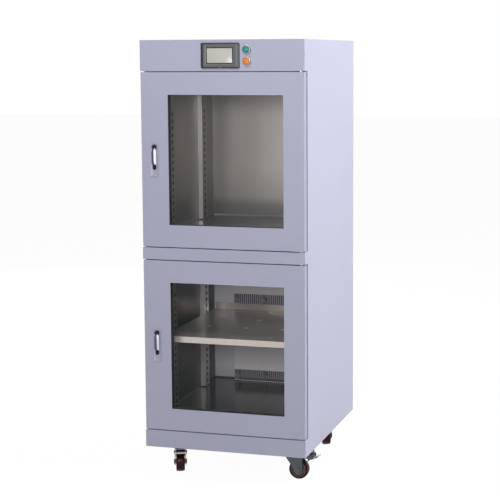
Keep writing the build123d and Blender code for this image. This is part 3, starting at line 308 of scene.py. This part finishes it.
def linerPaintedLight(bay):
    # The side walls are painted darker as shade, the rear wall is satin and painted lighter as lit, and the floor
    # is polished and painted lighter as lit
    own = bays[bay]
    finish = Finish(f"{bay}LinerPaintedLight")
    grain, tone = steelGrain(finish, steel["grainUp"])
    aside, depth, height = (finish.axis(index) for index in range(3))
    rear, low = depth > liner["rearFrom"], height < own["floorTop"]
    rise = (height - own["floorTop"]) * (1 / liner["wallHeight"])
    stops = [(place, (level, level, level, 1.0)) for place, level in own["bands"]]
    # Painted shade and reflection in bands up the rear wall
    bands = finish.node("ShaderNodeValToRGB", {"stops": stops}, {0: rise})
    # Painted shade toward the left corner of the rear wall
    inward = aside.ramp(liner["cornerSlope"], liner["cornerOffset"])
    lit = finish.blend(inward, scaled(own["rear"], own["leftShade"]), own["rear"])
    shade = finish.blend(rear, own["side"], finish.blend(bands, liner["bandShade"], lit))
    shade = finish.blend(low, shade, own["floor"])
    # Painted shade on the side walls in strips behind the pilasters, from just above the floor
    standing = height > own["floorTop"] + liner["stripFoot"]
    front, back = (
        ((depth - middle).maths("ABSOLUTE") < liner["shadeBehindPilaster"]) * standing for middle in pilaster["middles"]
    )
    grimeAndShade = tone * (steel["grimeShare"] - rear * (steel["grimeShare"] - liner["rearGrime"]))
    return finish.done(
        Base_Color=finish.blend(grimeAndShade + (front + back) * 0.75, shade, steel["grimeAndShade"]),
        Metallic=1.0 - rear * own["satin"] - low * 0.55,
        Roughness=liner["roughness"] + (grain - 0.5) * 0.14 + rear * 0.06 - low * 0.16,
        Normal=steelBump(finish, grain),
    )


def platedMetal(name, colour, roughness, mottle):
    finish = Finish(name)
    cloud = finish.noise(60, 4)
    fine = finish.noise(1500, 2)
    return finish.done(
        Base_Color=finish.blend(cloud, scaled(colour, 1 - mottle), colour),
        Metallic=1.0,
        Roughness=roughness + (cloud - 0.5) * 0.15 + (fine - 0.5) * 0.05,
        Normal=finish.bump(fine, 0.05, 0.0001),
    )


def twoToneMetal(name, look, measure):
    # Plating with a dull part and a bright part, which meet where the measure is 0
    finish = Finish(name)
    cloud = finish.noise(60, 4)
    brightPart = measure(finish).ramp(look["sharpness"], 0.5)
    return finish.done(
        Base_Color=finish.blend(brightPart, look["dark"], look["bright"]),
        Metallic=1.0,
        Roughness=look["roughness"] - brightPart * look["polish"] + (cloud - 0.5) * 0.15,
        Normal=finish.bump(cloud, 0.05, 0.0001),
    )


def plastic(name, colour, roughness, grainScale=1800, grainStrength=0.15, mottle=0.06, **constants):
    finish = Finish(name)
    cloud = finish.noise(25, 3)
    grain = finish.noise(grainScale, 2)
    return finish.done(
        Base_Color=finish.blend(cloud, scaled(colour, 1 - mottle), scaled(colour, 1 + mottle)),
        Roughness=roughness + (grain - 0.5) * 0.12 + (cloud - 0.5) * 0.08,
        Normal=finish.bump(grain, grainStrength, 0.0002),
        **constants,
    )


lens = {"ringFrom": 0.0088, "ringTo": 0.0104, "centre": 0.0052, "centreShare": 0.6, "roughness": 0.24}


def buttonLens(colour, face, grooveShade, centre):
    # Bands by distance from the cap's own middle: lens, dark groove painted as shade, rim
    finish = Finish(f"{colour}Lens")
    low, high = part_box(f"{colour}_button_cap")
    x, z = (finish.axis(index) - (low[index] + high[index]) / 2 for index in (0, 2))
    distance = (x * x + z * z).maths("SQRT")
    groove = (distance > lens["ringFrom"]) * (distance < lens["ringTo"])
    bulge = (distance < lens["centre"]) * lens["centreShare"]
    grain = finish.noise(900, 2)
    return finish.done(
        Base_Color=finish.blend(groove, finish.blend(bulge, face, centre), grooveShade),
        Roughness=lens["roughness"] + (grain - 0.5) * 0.1,
        Normal=finish.bump(grain, 0.05, 0.0002),
    )


# Lever: dull left of the ridge at this x, in metres, and bright right of it, a painted reflection: dark on the
# left and a painted highlight on the right
leverPaintedReflection = {
    "dark": rgb(84, 87, 106), "bright": rgb(196, 194, 208), "ridge": -0.2468, "sharpness": 700,
    "roughness": 0.42, "polish": 0.04,
}


def leverChromePaintedReflection():
    return twoToneMetal("leverChromePaintedReflection", leverPaintedReflection, lambda finish: finish.axis(0) - leverPaintedReflection["ridge"])


# Pedal: dull round its pin, and bright from this distance out along the tread, in metres
pedalLook = {
    "dark": rgb(40, 43, 46), "bright": rgb(228, 228, 231), "boss": 0.0085, "sharpness": 700,
    "roughness": 0.34, "polish": 0.1,
}


def pedalSteel(corner):
    swivel, pin, along = forkLine(corner)
    right, back = float(along[0]), float(along[1])
    start = float(pin @ along)
    return twoToneMetal(
        f"{camel(corner)}Pedal", pedalLook,
        lambda finish: finish.axis(0) * right + finish.axis(1) * back - start - pedalLook["boss"],
    )


pane = {
    "low": rgb(196, 208, 206), "high": rgb(214, 224, 222), "mirror": 0.22, "smear": 0.006, "roughness": 0.03,
}


def clearGlass():
    # A thin pane: mirror-like where Fresnel says so, and see-through elsewhere
    finish = Finish("toughenedGlass")
    smear = finish.noise(14, 4, (1, 1, 0.3))
    fresnel = finish.node("ShaderNodeFresnel", {}, {"IOR": 1.45})
    return finish.done(
        Base_Color=finish.blend(smear, pane["low"], pane["high"]),
        Metallic=1.0,
        Roughness=pane["roughness"] + smear * 0.04,
        Alpha=fresnel * pane["mirror"] + smear * pane["smear"],
    )


finishes = {
    "painted_steel": paintedSteel("lavenderBody", paint["body"]),
    "shaded_front_paint": paintedSteel("lavenderFrontShaded", paint["front"]),
    "stainless_steel": brushedSteel("brushedStainless", steel["grainUp"], rgb(150, 146, 144), 0.34),
    "upper_liner": linerPaintedLight("upper"),
    "lower_liner": linerPaintedLight("lower"),
    "duct_steel": ductSteelLit(),
    # The shelf is the stainless painted lighter, as painted light
    "shelf_steel": brushedSteel("shelfSteelLit", steel["grainAcross"], rgb(206, 195, 189), 0.22, 0.45),
    "pilaster_steel": pilasterPaintedLight(),
    "zinc_plated_steel": platedMetal("zincPlate", rgb(176, 178, 180), 0.32, 0.25),
    "dryer_plastic": plastic("dryerPlastic", rgb(205, 204, 198), 0.5),
    "black_plastic": plastic("blackPlastic", rgb(13, 13, 15), 0.4),
    "screen": plastic("screenOff", rgb(178, 176, 168), 0.2, 60, 0.0),
    "nickel_bezel": platedMetal("nickelPlate", rgb(168, 168, 170), 0.34, 0.1),
    "electronics": plastic("circuitBoard", rgb(70, 92, 80), 0.55),
    "green_cap": buttonLens("green", rgb(8, 122, 120), rgb(3, 62, 68), rgb(22, 160, 150)),
    "orange_cap": buttonLens("orange", rgb(222, 130, 34), rgb(132, 68, 22), rgb(206, 110, 26)),
    "glass": clearGlass(),
    "black_rubber": plastic("blackRubber", rgb(30, 30, 33), 0.6, 1200, 0.2),
    "handle_chrome": platedMetal("satinChrome", rgb(214, 215, 218), 0.16, 0.08),
    "handle_plate": plastic("lavenderPlate", rgb(158, 158, 178), 0.45, 1500, 0.05, 0.05, Metallic=0.1),
    "lever_chrome": leverChromePaintedReflection(),
    "panel_grey": plastic("panelGrey", rgb(84, 84, 87), 0.4),
    "caster_steel": platedMetal("darkZinc", rgb(88, 92, 96), 0.34, 0.3),
    **{f"{corner}_pedal_steel": pedalSteel(corner) for corner in corners},
    "dark_button": plastic("darkButton", rgb(14, 14, 18), 0.5, Specular_IOR_Level=0.2),
    "hub_plastic": plastic("greyHub", rgb(84, 74, 72), 0.4),
    "rotor_chrome": platedMetal("darkChrome", rgb(58, 60, 70), 0.42, 0.1),
    "red_tyre": plastic("redTyre", rgb(50, 7, 11), 0.32, 900, 0.2, 0.15, Specular_IOR_Level=0.14),
}

# New pieces keep the slot of the solid that they dress
slotOf = {row["node"]: row["material_slot"] for row in frame["record"]["subparts"]}
# The front pieces take the darker copy of the body paint, which is painted shade
frontNodes = ("header_fascia", "mid_rail", "base_frame", "upper_door_shell", "lower_door_shell")
finishOf = {
    **slotOf, **dict.fromkeys(frontNodes, "shaded_front_paint"),
    "upper_liner": "upper_liner", "lower_liner": "lower_liner", "duct_cover": "duct_steel",
    "shelf": "shelf_steel", "shelf_pilasters": "pilaster_steel", "caster_plates": "caster_steel",
    "lower_latch_rotor": "rotor_chrome", "upper_latch_rotor": "rotor_chrome",
    **{f"{corner}_fork": "caster_steel" for corner in corners},
    **{f"{corner}_brake_pedal": f"{corner}_pedal_steel" for corner in corners},
}
for node, part in frame["nodes"].items():
    part.data.materials.clear()
    part.data.materials.append(finishes[finishOf[node]])
print("finishes on", len(finishOf), "nodes")


# Folded sheet and castings get the small rounds of real bends, in millimetres
bend = {"weld": 0.00001, "flatAngle": 0.5, "edgeAngle": 40, "segments": 3}
bendRounds = {
    "header_fascia": 1.6, "mid_rail": 1.6, "base_frame": 1.6, "left_side_panel": 1.6, "right_side_panel": 1.6,
    "top_panel": 1.2, "rear_panel": 1.0, "front_frame": 0.5, "shelf": 0.9,
    "upper_door_shell": 0.6, "lower_door_shell": 0.6, "upper_door_inner_frame": 0.8, "lower_door_inner_frame": 0.8,
}


def soften(node, width):
    part = frame["nodes"][node]
    weld = part.modifiers.new("weld", "WELD")
    weld.merge_threshold = bend["weld"]
    flat = part.modifiers.new("flat", "DECIMATE")
    flat.decimate_type = "DISSOLVE"
    flat.angle_limit = math.radians(bend["flatAngle"])
    bevel = part.modifiers.new("bend", "BEVEL")
    bevel.width = width * mm
    bevel.segments = bend["segments"]
    bevel.limit_method = "ANGLE"
    bevel.angle_limit = math.radians(bend["edgeAngle"])
    bevel.use_clamp_overlap = True
    bevel.harden_normals = False


for node, width in bendRounds.items():
    soften(node, width)
print("edges softened on", len(bendRounds), "nodes")


# New pieces: rings of points worked out as whole arrays, joined into closed skins. Folds over
# this many degrees stay sharp.
sharpFrom = 38


def roundedBox(low, high, radius, steps=6):
    # Quarter circles at the four corners joined by straight runs, anticlockwise in x and z
    angles = np.arange(4)[:, None] * np.pi / 2 + np.linspace(0, np.pi / 2, steps)
    right = np.array([1, 0, 0, 1])[:, None]
    top = np.array([1, 1, 0, 0])[:, None]
    x = low[0] + radius + right * (high[0] - low[0] - 2 * radius) + radius * np.cos(angles)
    z = low[1] + radius + top * (high[1] - low[1] - 2 * radius) + radius * np.sin(angles)
    return np.stack([x.ravel(), z.ravel()], axis=1)


def circle(centre, radius, steps=48):
    angles = np.arange(steps) / steps * 2 * np.pi
    return np.stack([centre[0] + radius * np.cos(angles), centre[1] + radius * np.sin(angles)], axis=1)


def grown(shape, amount):
    # The outline moved outwards by an amount, along the line from its middle
    centre = (shape.min(axis=0) + shape.max(axis=0)) / 2
    half = (shape.max(axis=0) - shape.min(axis=0)) / 2
    return centre + (shape - centre) * (half + amount) / half


def upright(levels, face):
    # Rings standing on a wall at y = face: each level is an outline in x and z, and how far out it is
    return np.array([np.insert(shape, 1, face - out, axis=1) for shape, out in levels])


def stepped(shape, steps, face):
    # The same from one outline: each step is its growth and how far out it is, in millimetres
    return upright([(grown(shape, growth * mm), out * mm) for growth, out in steps], face)


def skin(name, rings, finish, body, stands=(), loop=False):
    # rings is (levels, points, 3). Neighbouring rings are joined by quads, and the two ends are
    # closed by a face each, or to each other where the skin is a loop.
    levels, count = rings.shape[:2]
    grid = np.arange(levels * count).reshape(levels, count)
    if loop:
        grid = np.vstack([grid, grid[:1]])
    beside = np.roll(grid, -1, axis=1)
    faces = np.stack([grid[:-1], beside[:-1], beside[1:], grid[1:]], axis=-1).reshape(-1, 4).tolist()
    if not loop:
        faces += [grid[0, ::-1].tolist(), grid[-1].tolist()]
    mesh = bpy.data.meshes.new(name)
    mesh.from_pydata(rings.reshape(-1, 3).tolist(), [], faces)
    work = bmesh.new()
    work.from_mesh(mesh)
    bmesh.ops.recalc_face_normals(work, faces=work.faces)
    work.to_mesh(mesh)
    work.free()
    mesh.polygons.foreach_set("use_smooth", np.ones(len(mesh.polygons), dtype=bool))
    mesh.set_sharp_from_angle(angle=math.radians(sharpFrom))
    mesh.materials.append(finishes[finish])
    piece = bpy.data.objects.new(name, mesh)
    scene.collection.objects.link(piece)
    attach(piece, body)
    if stands:
        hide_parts(*stands)


def boxOf(node):
    # Two opposite corners of a node's box, as arrays
    low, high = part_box(node)
    return np.array(low), np.array(high)


# Touch panel, in millimetres: black rim, grey sloping frame, dark border, screen and lamp.
# Rows are (outline, growth, height above what is named), and a lamp row is (radius, height).
panel = {
    "rim": {"left": 8.5, "right": 6.0, "low": 5.0, "high": 5.0}, "corner": 5.0, "openingCorner": 2.5,
    "screenCorner": 1.2, "bodyInset": -5.0, "glassSink": 2.08, "borderStart": (0.5, 0.2),
    "rimAbovePanel": [
        ("outer", 0.0, -1.6), ("outer", -0.48, -0.48), ("outer", -1.6, 0.0), ("opening", 0.0, 0.0),
        ("opening", -0.3, -1.6), ("screen", 2.0, -2.4),
    ],
    "frameAbovePanel": [
        ("opening", 0.0, -1.76), ("opening", -0.2, -0.8), ("opening", -1.0, -0.48), ("screen", 1.2, -1.28),
        ("screen", 0.0, -1.92), ("screen", -0.4, -3.2), ("opening", -2.0, -3.2),
    ],
    "borderAboveGlass": [("screen", 0.5, -0.5), ("screen", -0.2, -0.3), ("screen", -2.7, 0.0)],
    "screenAboveGlass": [("screen", -3.0, -1.0), ("screen", -3.0, 0.1), ("screen", -3.4, 0.25)],
    "lamp": [(1.3, -1.0), (1.3, 0.1), (0.91, 0.35), (0.26, 0.45)], "lampRise": 2.6, "lampSteps": 20,
}


def makePanel():
    low, high = boxOf("hmi_housing")
    shown, shownTop = boxOf("hmi_screen")
    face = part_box("header_fascia")[0][1]
    proud, deep = face - low[1], high[1] - face
    glass = proud - panel["glassSink"] * mm
    rim = {side: width * mm for side, width in panel["rim"].items()}
    outlines = {
        "outer": roundedBox(low[[0, 2]], high[[0, 2]], panel["corner"] * mm),
        "opening": roundedBox(
            (low[0] + rim["left"], low[2] + rim["low"]), (high[0] - rim["right"], high[2] - rim["high"]),
            panel["openingCorner"] * mm,
        ),
        "screen": roundedBox(shown[[0, 2]], shownTop[[0, 2]], panel["screenCorner"] * mm),
    }

    def rows(key, above):
        return [(grown(outlines[name], growth * mm), above + out * mm) for name, growth, out in panel[key]]

    body = grown(outlines["outer"], panel["bodyInset"] * mm)
    growth, out = panel["borderStart"]
    start = (grown(outlines["screen"], growth * mm), out * mm)
    housing = [(body, -deep), (body, 0), (outlines["outer"], 0), *rows("rimAbovePanel", proud)]
    border = [start, *rows("borderAboveGlass", glass)]
    middle = ((low[0] + high[0]) / 2, low[2] + panel["lampRise"] * mm)
    lamp = [
        (circle(middle, radius * mm, panel["lampSteps"]), proud + out * mm) for radius, out in panel["lamp"]
    ]
    skin("touchPanelHousing", upright(housing, face), "black_plastic", "cabinet", ("hmi_housing",))
    frameRings = upright(rows("frameAbovePanel", proud), face)
    skin("touchPanelFrame", frameRings, "panel_grey", "cabinet", loop=True)
    skin("touchPanelBorder", upright(border, face), "dark_button", "cabinet")
    screenRings = upright(rows("screenAboveGlass", glass), face)
    skin("touchPanelScreen", screenRings, "screen", "cabinet", ("hmi_screen",))
    skin("touchPanelLamp", upright(lamp, face), "dryer_plastic", "cabinet")


# Push buttons: radius and height above the header, in millimetres
button = {
    "bezel": [
        (12.35, 3.0), (12.45, 8.6), (12.8, 9.0), (13.3, 9.0), (14.1, 8.6), (14.7, 7.8), (15.0, 6.6), (15.0, 0.2),
        (14.6, 0.0), (13.0, 0.0),
    ],
    "cap": [
        (11.9, 5.2), (11.95, 10.0), (11.8, 10.8), (11.4, 11.3), (10.8, 11.5), (10.2, 11.45), (9.7, 11.1),
        (9.3, 10.9), (8.9, 11.1), (8.3, 11.45), (7.0, 11.65), (5.0, 11.8), (2.5, 11.9), (0.4, 11.92),
    ],
    "neck": [(11.0, -13.0), (11.0, 0.0), (12.8, 0.1)],
    "switchHalf": (15.0, 19.0), "switchCorner": 2.0, "switchRoll": 1.0, "switchFront": -14.0,
}


def makeButtons():
    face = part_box("header_fascia")[0][1]
    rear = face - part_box("button_bodies")[1][1]
    roll = button["switchRoll"] * mm
    front = button["switchFront"] * mm
    for colour, bodies in (("green", ("button_bodies",)), ("orange", ())):
        low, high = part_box(f"{colour}_button_cap")
        centre = np.array([(low[0] + high[0]) / 2, (low[2] + high[2]) / 2])
        bezel, cap, neck = (
            upright([(circle(centre, radius * mm), out * mm) for radius, out in button[part]], face)
            for part in ("bezel", "cap", "neck")
        )
        skin(f"{colour}ButtonBezel", bezel, "nickel_bezel", "cabinet", bodies, loop=True)
        skin(f"{colour}ButtonCap", cap, f"{colour}_cap", f"{colour}_button", (f"{colour}_button_cap",))
        half = np.array(button["switchHalf"]) * mm
        block = roundedBox(centre - half, centre + half, button["switchCorner"] * mm)
        inner = grown(block, -roll)
        switch = [(inner, rear), (block, rear + roll), (block, front - roll), (inner, front)]
        skin(f"{colour}ButtonSwitch", upright(switch, face), "black_plastic", "cabinet")
        skin(f"{colour}ButtonNeck", neck, "black_plastic", "cabinet")


# Door handles, in millimetres. Outlines are (growth, height above the plate or the key's face),
# and a lever row is how far down it lies (0 to 1), its half width and its crown above the plate.
handle = {
    "plateCorner": 6.0,
    "plate": [
        (-5.0, -32.0), (-4.0, -4.2), (-0.4, -4.0), (0.0, -3.8), (0.0, -0.9), (-0.27, -0.27), (-0.9, 0.0),
        (-2.0, 0.0), (-2.5, -0.32), (-3.2, -0.8),
    ],
    "lever": [
        (0.0, 3.4, 4.6), (0.015, 4.2, 6.0), (0.06, 5.4, 7.0), (0.12, 7.4, 7.6), (0.2, 8.8, 8.0), (0.3, 9.2, 8.3),
        (0.45, 9.3, 8.6), (0.62, 9.3, 8.6), (0.78, 9.3, 8.4), (0.9, 9.2, 7.8), (0.96, 8.8, 7.2), (0.99, 7.6, 6.0),
        (1.0, 6.0, 4.6),
    ],
    "leverPoints": 19, "leverBack": (-0.6, 0.0, 0.6), "lean": -0.12, "side": 3.2, "lift": 0.7, "start": 3.0,
    "reach": 62.0, "latchBelowTop": 3.5, "pivotRadius": 5.4, "pivotSteps": 28,
    "pivot": [(-1.2, 2.3), (0.0, 3.5), (0.0, 6.4), (-0.6, 7.1), (-1.4, 7.4), (-2.6, 7.2), (-3.0, 6.2)],
    "keyCorner": 4.9, "keySteps": 8,
    "key": [(0.0, -14.0), (0.0, -0.9), (-0.3, -0.3), (-0.9, 0.0), (-2.4, -0.35), (-4.0, -0.5)],
    "collar": [(0.15, -0.8), (0.15, 0.6), (0.9, 1.0), (1.7, 0.5), (1.9, -0.8)],
}


def leverRings(middleX, plateFace, latch):
    # The front rises as side + crown * (1 - |x| ** 1.7), leans a little left, and the back is flat
    along, half, crown = (column[:, None] for column in np.array(handle["lever"]).T)
    across = np.cos(np.linspace(0, np.pi, handle["leverPoints"]))
    ridge = 1 - np.abs(across) ** 1.7
    flat = np.zeros(len(handle["leverBack"]))
    x = np.concatenate([across + handle["lean"] * ridge, handle["leverBack"]])
    front = np.concatenate([np.ones(len(across)), flat])
    rise = crown - handle["lift"]
    side = np.minimum(rise, handle["side"])
    out = handle["lift"] + side * front + (rise - side) * np.concatenate([ridge, flat])
    down = handle["start"] + along * (handle["reach"] - handle["start"])
    rings = np.zeros((len(along), len(x), 3))
    rings[:, :, 0] = middleX + half * x * mm
    rings[:, :, 1] = plateFace - out * mm
    rings[:, :, 2] = latch - down * mm
    return rings


def makeHandle(bay):
    low, high = boxOf(f"{bay}_handle_base")
    plateFace, middleX = low[1], (low[0] + high[0]) / 2
    plate = roundedBox(low[[0, 2]], high[[0, 2]], handle["plateCorner"] * mm)
    skin(
        f"{bay}HandlePlate", stepped(plate, handle["plate"], plateFace), "handle_plate", f"{bay}_door",
        (f"{bay}_handle_base",),
    )
    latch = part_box(f"{bay}_handle_lever")[1][2] - handle["latchBelowTop"] * mm
    skin(
        f"{bay}HandleLever", leverRings(middleX, plateFace, latch), "lever_chrome", f"{bay}_lever",
        (f"{bay}_handle_lever",),
    )
    barrel = circle((middleX, latch), handle["pivotRadius"] * mm, handle["pivotSteps"])
    skin(f"{bay}LeverPivot", stepped(barrel, handle["pivot"], plateFace), "dark_button", f"{bay}_lever")
    keyLow, keyHigh = boxOf(f"{bay}_handle_button")
    key = roundedBox(keyLow[[0, 2]], keyHigh[[0, 2]], handle["keyCorner"] * mm, handle["keySteps"])
    skin(
        f"{bay}HandleKey", stepped(key, handle["key"], keyLow[1]), "dark_button", f"{bay}_key",
        (f"{bay}_handle_button",),
    )
    collar = stepped(key, handle["collar"], plateFace)
    skin(f"{bay}KeyCollar", collar, "dark_button", f"{bay}_door", loop=True)


# Caster wheels, in millimetres: (along the axle, radius) pairs round each turned section
wheel = {
    "tyre": [
        (-15.0, 27.1), (-15.6, 28.5), (-15.9, 30.5), (-15.6, 32.3), (-14.6, 33.8), (-12.8, 34.9), (-10.0, 35.6),
        (-6.0, 35.95), (0.0, 36.0), (6.0, 35.95), (10.0, 35.6), (12.8, 34.9), (14.6, 33.8), (15.6, 32.3),
        (15.9, 30.5), (15.6, 28.5), (15.0, 27.1), (0.0, 27.05),
    ],
    "hub": [
        (-17.4, 4.3), (-17.4, 9.0), (-16.8, 9.6), (-13.5, 10.2), (-9.5, 11.4), (-8.6, 13.0), (-8.8, 19.0),
        (-10.5, 22.0), (-14.2, 23.6), (-15.0, 24.4), (-15.0, 26.4), (-14.6, 26.95), (14.6, 26.95), (15.0, 26.4),
        (15.0, 24.4), (14.2, 23.6), (10.5, 22.0), (8.8, 19.0), (8.6, 13.0), (9.5, 11.4), (13.5, 10.2),
        (16.8, 9.6), (17.4, 9.0), (17.4, 4.3),
    ],
    "steps": 72,
}


def turned(profile, centre, axle):
    # The section at angle t: along * axle + radius * (cos t * across + sin t * up)
    section = np.array(profile) * mm
    axle = np.array(axle) / np.linalg.norm(axle)
    up = np.array([0, 0, 1])
    angles = np.arange(wheel["steps"]) / wheel["steps"] * 2 * np.pi
    spokes = np.cos(angles)[:, None] * np.cross(up, axle) + np.sin(angles)[:, None] * up
    return centre + section[None, :, 0, None] * axle + section[None, :, 1, None] * spokes[:, None, :]


def makeWheel(corner):
    low, high = boxOf(f"{corner}_tyre")
    axle = joints[f"{corner}_wheel_spin"]["axis"]
    for part, finish, node in (("tyre", "red_tyre", "tyre"), ("hub", "hub_plastic", "wheel_hub")):
        rings = turned(wheel[part], (low + high) / 2, axle)
        skin(part + camel(corner), rings, finish, f"{corner}_wheel", (f"{corner}_{node}",), loop=True)


# Dark cover over each brake spring, in millimetres: from and to along the fork, and in height
cover = {
    "from": 62.0, "to": 84.0, "halfWide": 17.4, "low": 94.6, "high": 109.2, "corner": 3.0, "cornerSteps": 5,
    "roll": 1.2,
}


def makeSpringCover(corner):
    swivel, pin, along = forkLine(corner)
    across = np.cross(along, [0, 0, 1])
    low, high = (np.array(point) * mm for point in (
        (-cover["halfWide"], cover["from"]), (cover["halfWide"], cover["to"])
    ))
    outline = roundedBox(low, high, cover["corner"] * mm, cover["cornerSteps"])
    inner, roll = grown(outline, -cover["roll"] * mm), cover["roll"]
    levels = [
        (inner, cover["low"]), (outline, cover["low"] + roll), (outline, cover["high"] - roll),
        (inner, cover["high"]),
    ]
    rings = np.array([
        swivel * (1, 1, 0) + shape[:, :1] * across + shape[:, 1:] * along + np.array([0, 0, height * mm])
        for shape, height in levels
    ])
    skin(f"springCover{camel(corner)}", rings, "black_plastic", f"{corner}_swivel")


makePanel()
makeButtons()
for bay in ("lower", "upper"):
    makeHandle(bay)
for corner in corners:
    makeWheel(corner)
for corner in corners:
    makeSpringCover(corner)
print("panel, buttons, handles, wheels and spring covers made")


# Floor, lights and camera. The floor and the world look white to the camera and in reflections,
# and light the piece only weakly.
studio = {
    "floorSize": 60.0, "floorColour": rgb(200, 200, 200), "floorGlow": 0.94, "glowStrength": 1.03,
    "worldStrength": 0.13,
}


def makeFloor():
    mesh = bpy.data.meshes.new("floor")
    reach = studio["floorSize"] / 2
    square = [(-reach, -reach, 0), (reach, -reach, 0), (reach, reach, 0), (-reach, reach, 0)]
    mesh.from_pydata(square, [], [(0, 1, 2, 3)])
    floor = bpy.data.objects.new("floor", mesh)
    scene.collection.objects.link(floor)
    finish = Finish("paleFloor")
    diffuse = finish.node("ShaderNodeBsdfDiffuse", {}, {"Color": studio["floorColour"]})
    glow = finish.node("ShaderNodeEmission", {}, {"Color": (1, 1, 1, 1), "Strength": studio["glowStrength"]})
    camera, glossy, clear = (
        finish.node("ShaderNodeLightPath", out=ray)
        for ray in ("Is Camera Ray", "Is Glossy Ray", "Is Transmission Ray")
    )
    seen = camera.maths("MAXIMUM", glossy).maths("MAXIMUM", clear)
    mixed = finish.node("ShaderNodeMixShader", {}, {0: seen * studio["floorGlow"], 1: diffuse, 2: glow})
    finish.tree.links.new(mixed.socket, finish.output.inputs[0])
    mesh.materials.append(finish.material)


def makeWorld():
    world = bpy.data.worlds.new("studio")
    scene.world = world
    world.use_nodes = True
    tree = world.node_tree
    tree.nodes.clear()
    light = tree.nodes.new("ShaderNodeLightPath")
    plain = light.outputs["Is Camera Ray"]
    for ray in ("Is Glossy Ray", "Is Transmission Ray"):
        either = tree.nodes.new("ShaderNodeMath")
        either.operation = "MAXIMUM"
        tree.links.new(plain, either.inputs[0])
        tree.links.new(light.outputs[ray], either.inputs[1])
        plain = either.outputs[0]
    strength = tree.nodes.new("ShaderNodeMapRange")
    strength.inputs["To Min"].default_value = studio["worldStrength"]
    strength.inputs["To Max"].default_value = 1.0
    tree.links.new(plain, strength.inputs["Value"])
    background = tree.nodes.new("ShaderNodeBackground")
    background.inputs["Color"].default_value = (1, 1, 1, 1)
    tree.links.new(strength.outputs[0], background.inputs["Strength"])
    output = tree.nodes.new("ShaderNodeOutputWorld")
    tree.links.new(background.outputs[0], output.inputs[0])


# Lamps: metres and watts
lamps = {
    "rightHigh": {"place": (3.2, 0.1, 3.1), "aim": (0.3, 0.1, 1.3), "size": (1.5, 1.5), "power": 152},
    "frontHigh": {"place": (-0.1, -1.5, 2.7), "aim": (0, -0.3, 1.7), "size": (1.0, 0.7), "power": 16},
    "frontFill": {"place": (0.45, -3.3, 1.4), "aim": (0, 0.3, 1.1), "size": (0.9, 0.9), "power": 43},
    "topFill": {"place": (0.2, 0.4, 4.6), "aim": (0, 0, 0), "size": (2.0, 2.0), "power": 40},
    "rearLeft": {"place": (-3.0, 3.4, 2.2), "aim": (0, 0.2, 0.9), "size": (1.6, 1.6), "power": 150},
}


def makeLamp(name, lamp):
    data = bpy.data.lights.new(name, "AREA")
    data.shape = "RECTANGLE"
    data.size, data.size_y = lamp["size"]
    data.energy = lamp["power"]
    light = bpy.data.objects.new(name, data)
    light.location = lamp["place"]
    turn = (Vector(lamp["aim"]) - Vector(lamp["place"])).to_track_quat("-Z", "Y")
    light.rotation_euler = turn.to_euler()
    scene.collection.objects.link(light)


# The camera stands right of the cabinet at about door-top height. Metres from the header's face
# and the base's underside, degrees, and pixels of the picture for the lens.
view = {
    "x": 1.5664, "ahead": 4.5735, "height": 1.3944, "yaw": 16.313, "pitch": 6.985, "roll": -0.242,
    "focal": 1393.8, "centreX": 285.0, "centreY": 228.0, "picture": 500.0, "sensor": 36.0,
}


def makeCamera():
    data = bpy.data.cameras.new("camera")
    data.sensor_width = view["sensor"]
    data.lens = view["focal"] * view["sensor"] / view["picture"]
    data.shift_x = (view["picture"] / 2 - view["centreX"]) / view["picture"]
    data.shift_y = (view["centreY"] - view["picture"] / 2) / view["picture"]
    camera = bpy.data.objects.new("camera", data)
    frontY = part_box("header_fascia")[0][1]
    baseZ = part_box("base_frame")[0][2]
    turn = Matrix.Rotation(math.radians(view["yaw"]), 4, "Z")
    tilt = Matrix.Rotation(math.radians(90 - view["pitch"]), 4, "X")
    roll = Matrix.Rotation(math.radians(view["roll"]), 4, "Z")
    place = Matrix.Translation((view["x"], frontY - view["ahead"], baseZ + view["height"]))
    camera.matrix_world = place @ turn @ tilt @ roll
    scene.collection.objects.link(camera)
    scene.camera = camera


makeFloor()
makeWorld()
for name, lamp in lamps.items():
    makeLamp(name, lamp)
makeCamera()
scene.view_settings.view_transform = "Standard"
print("stage ready")
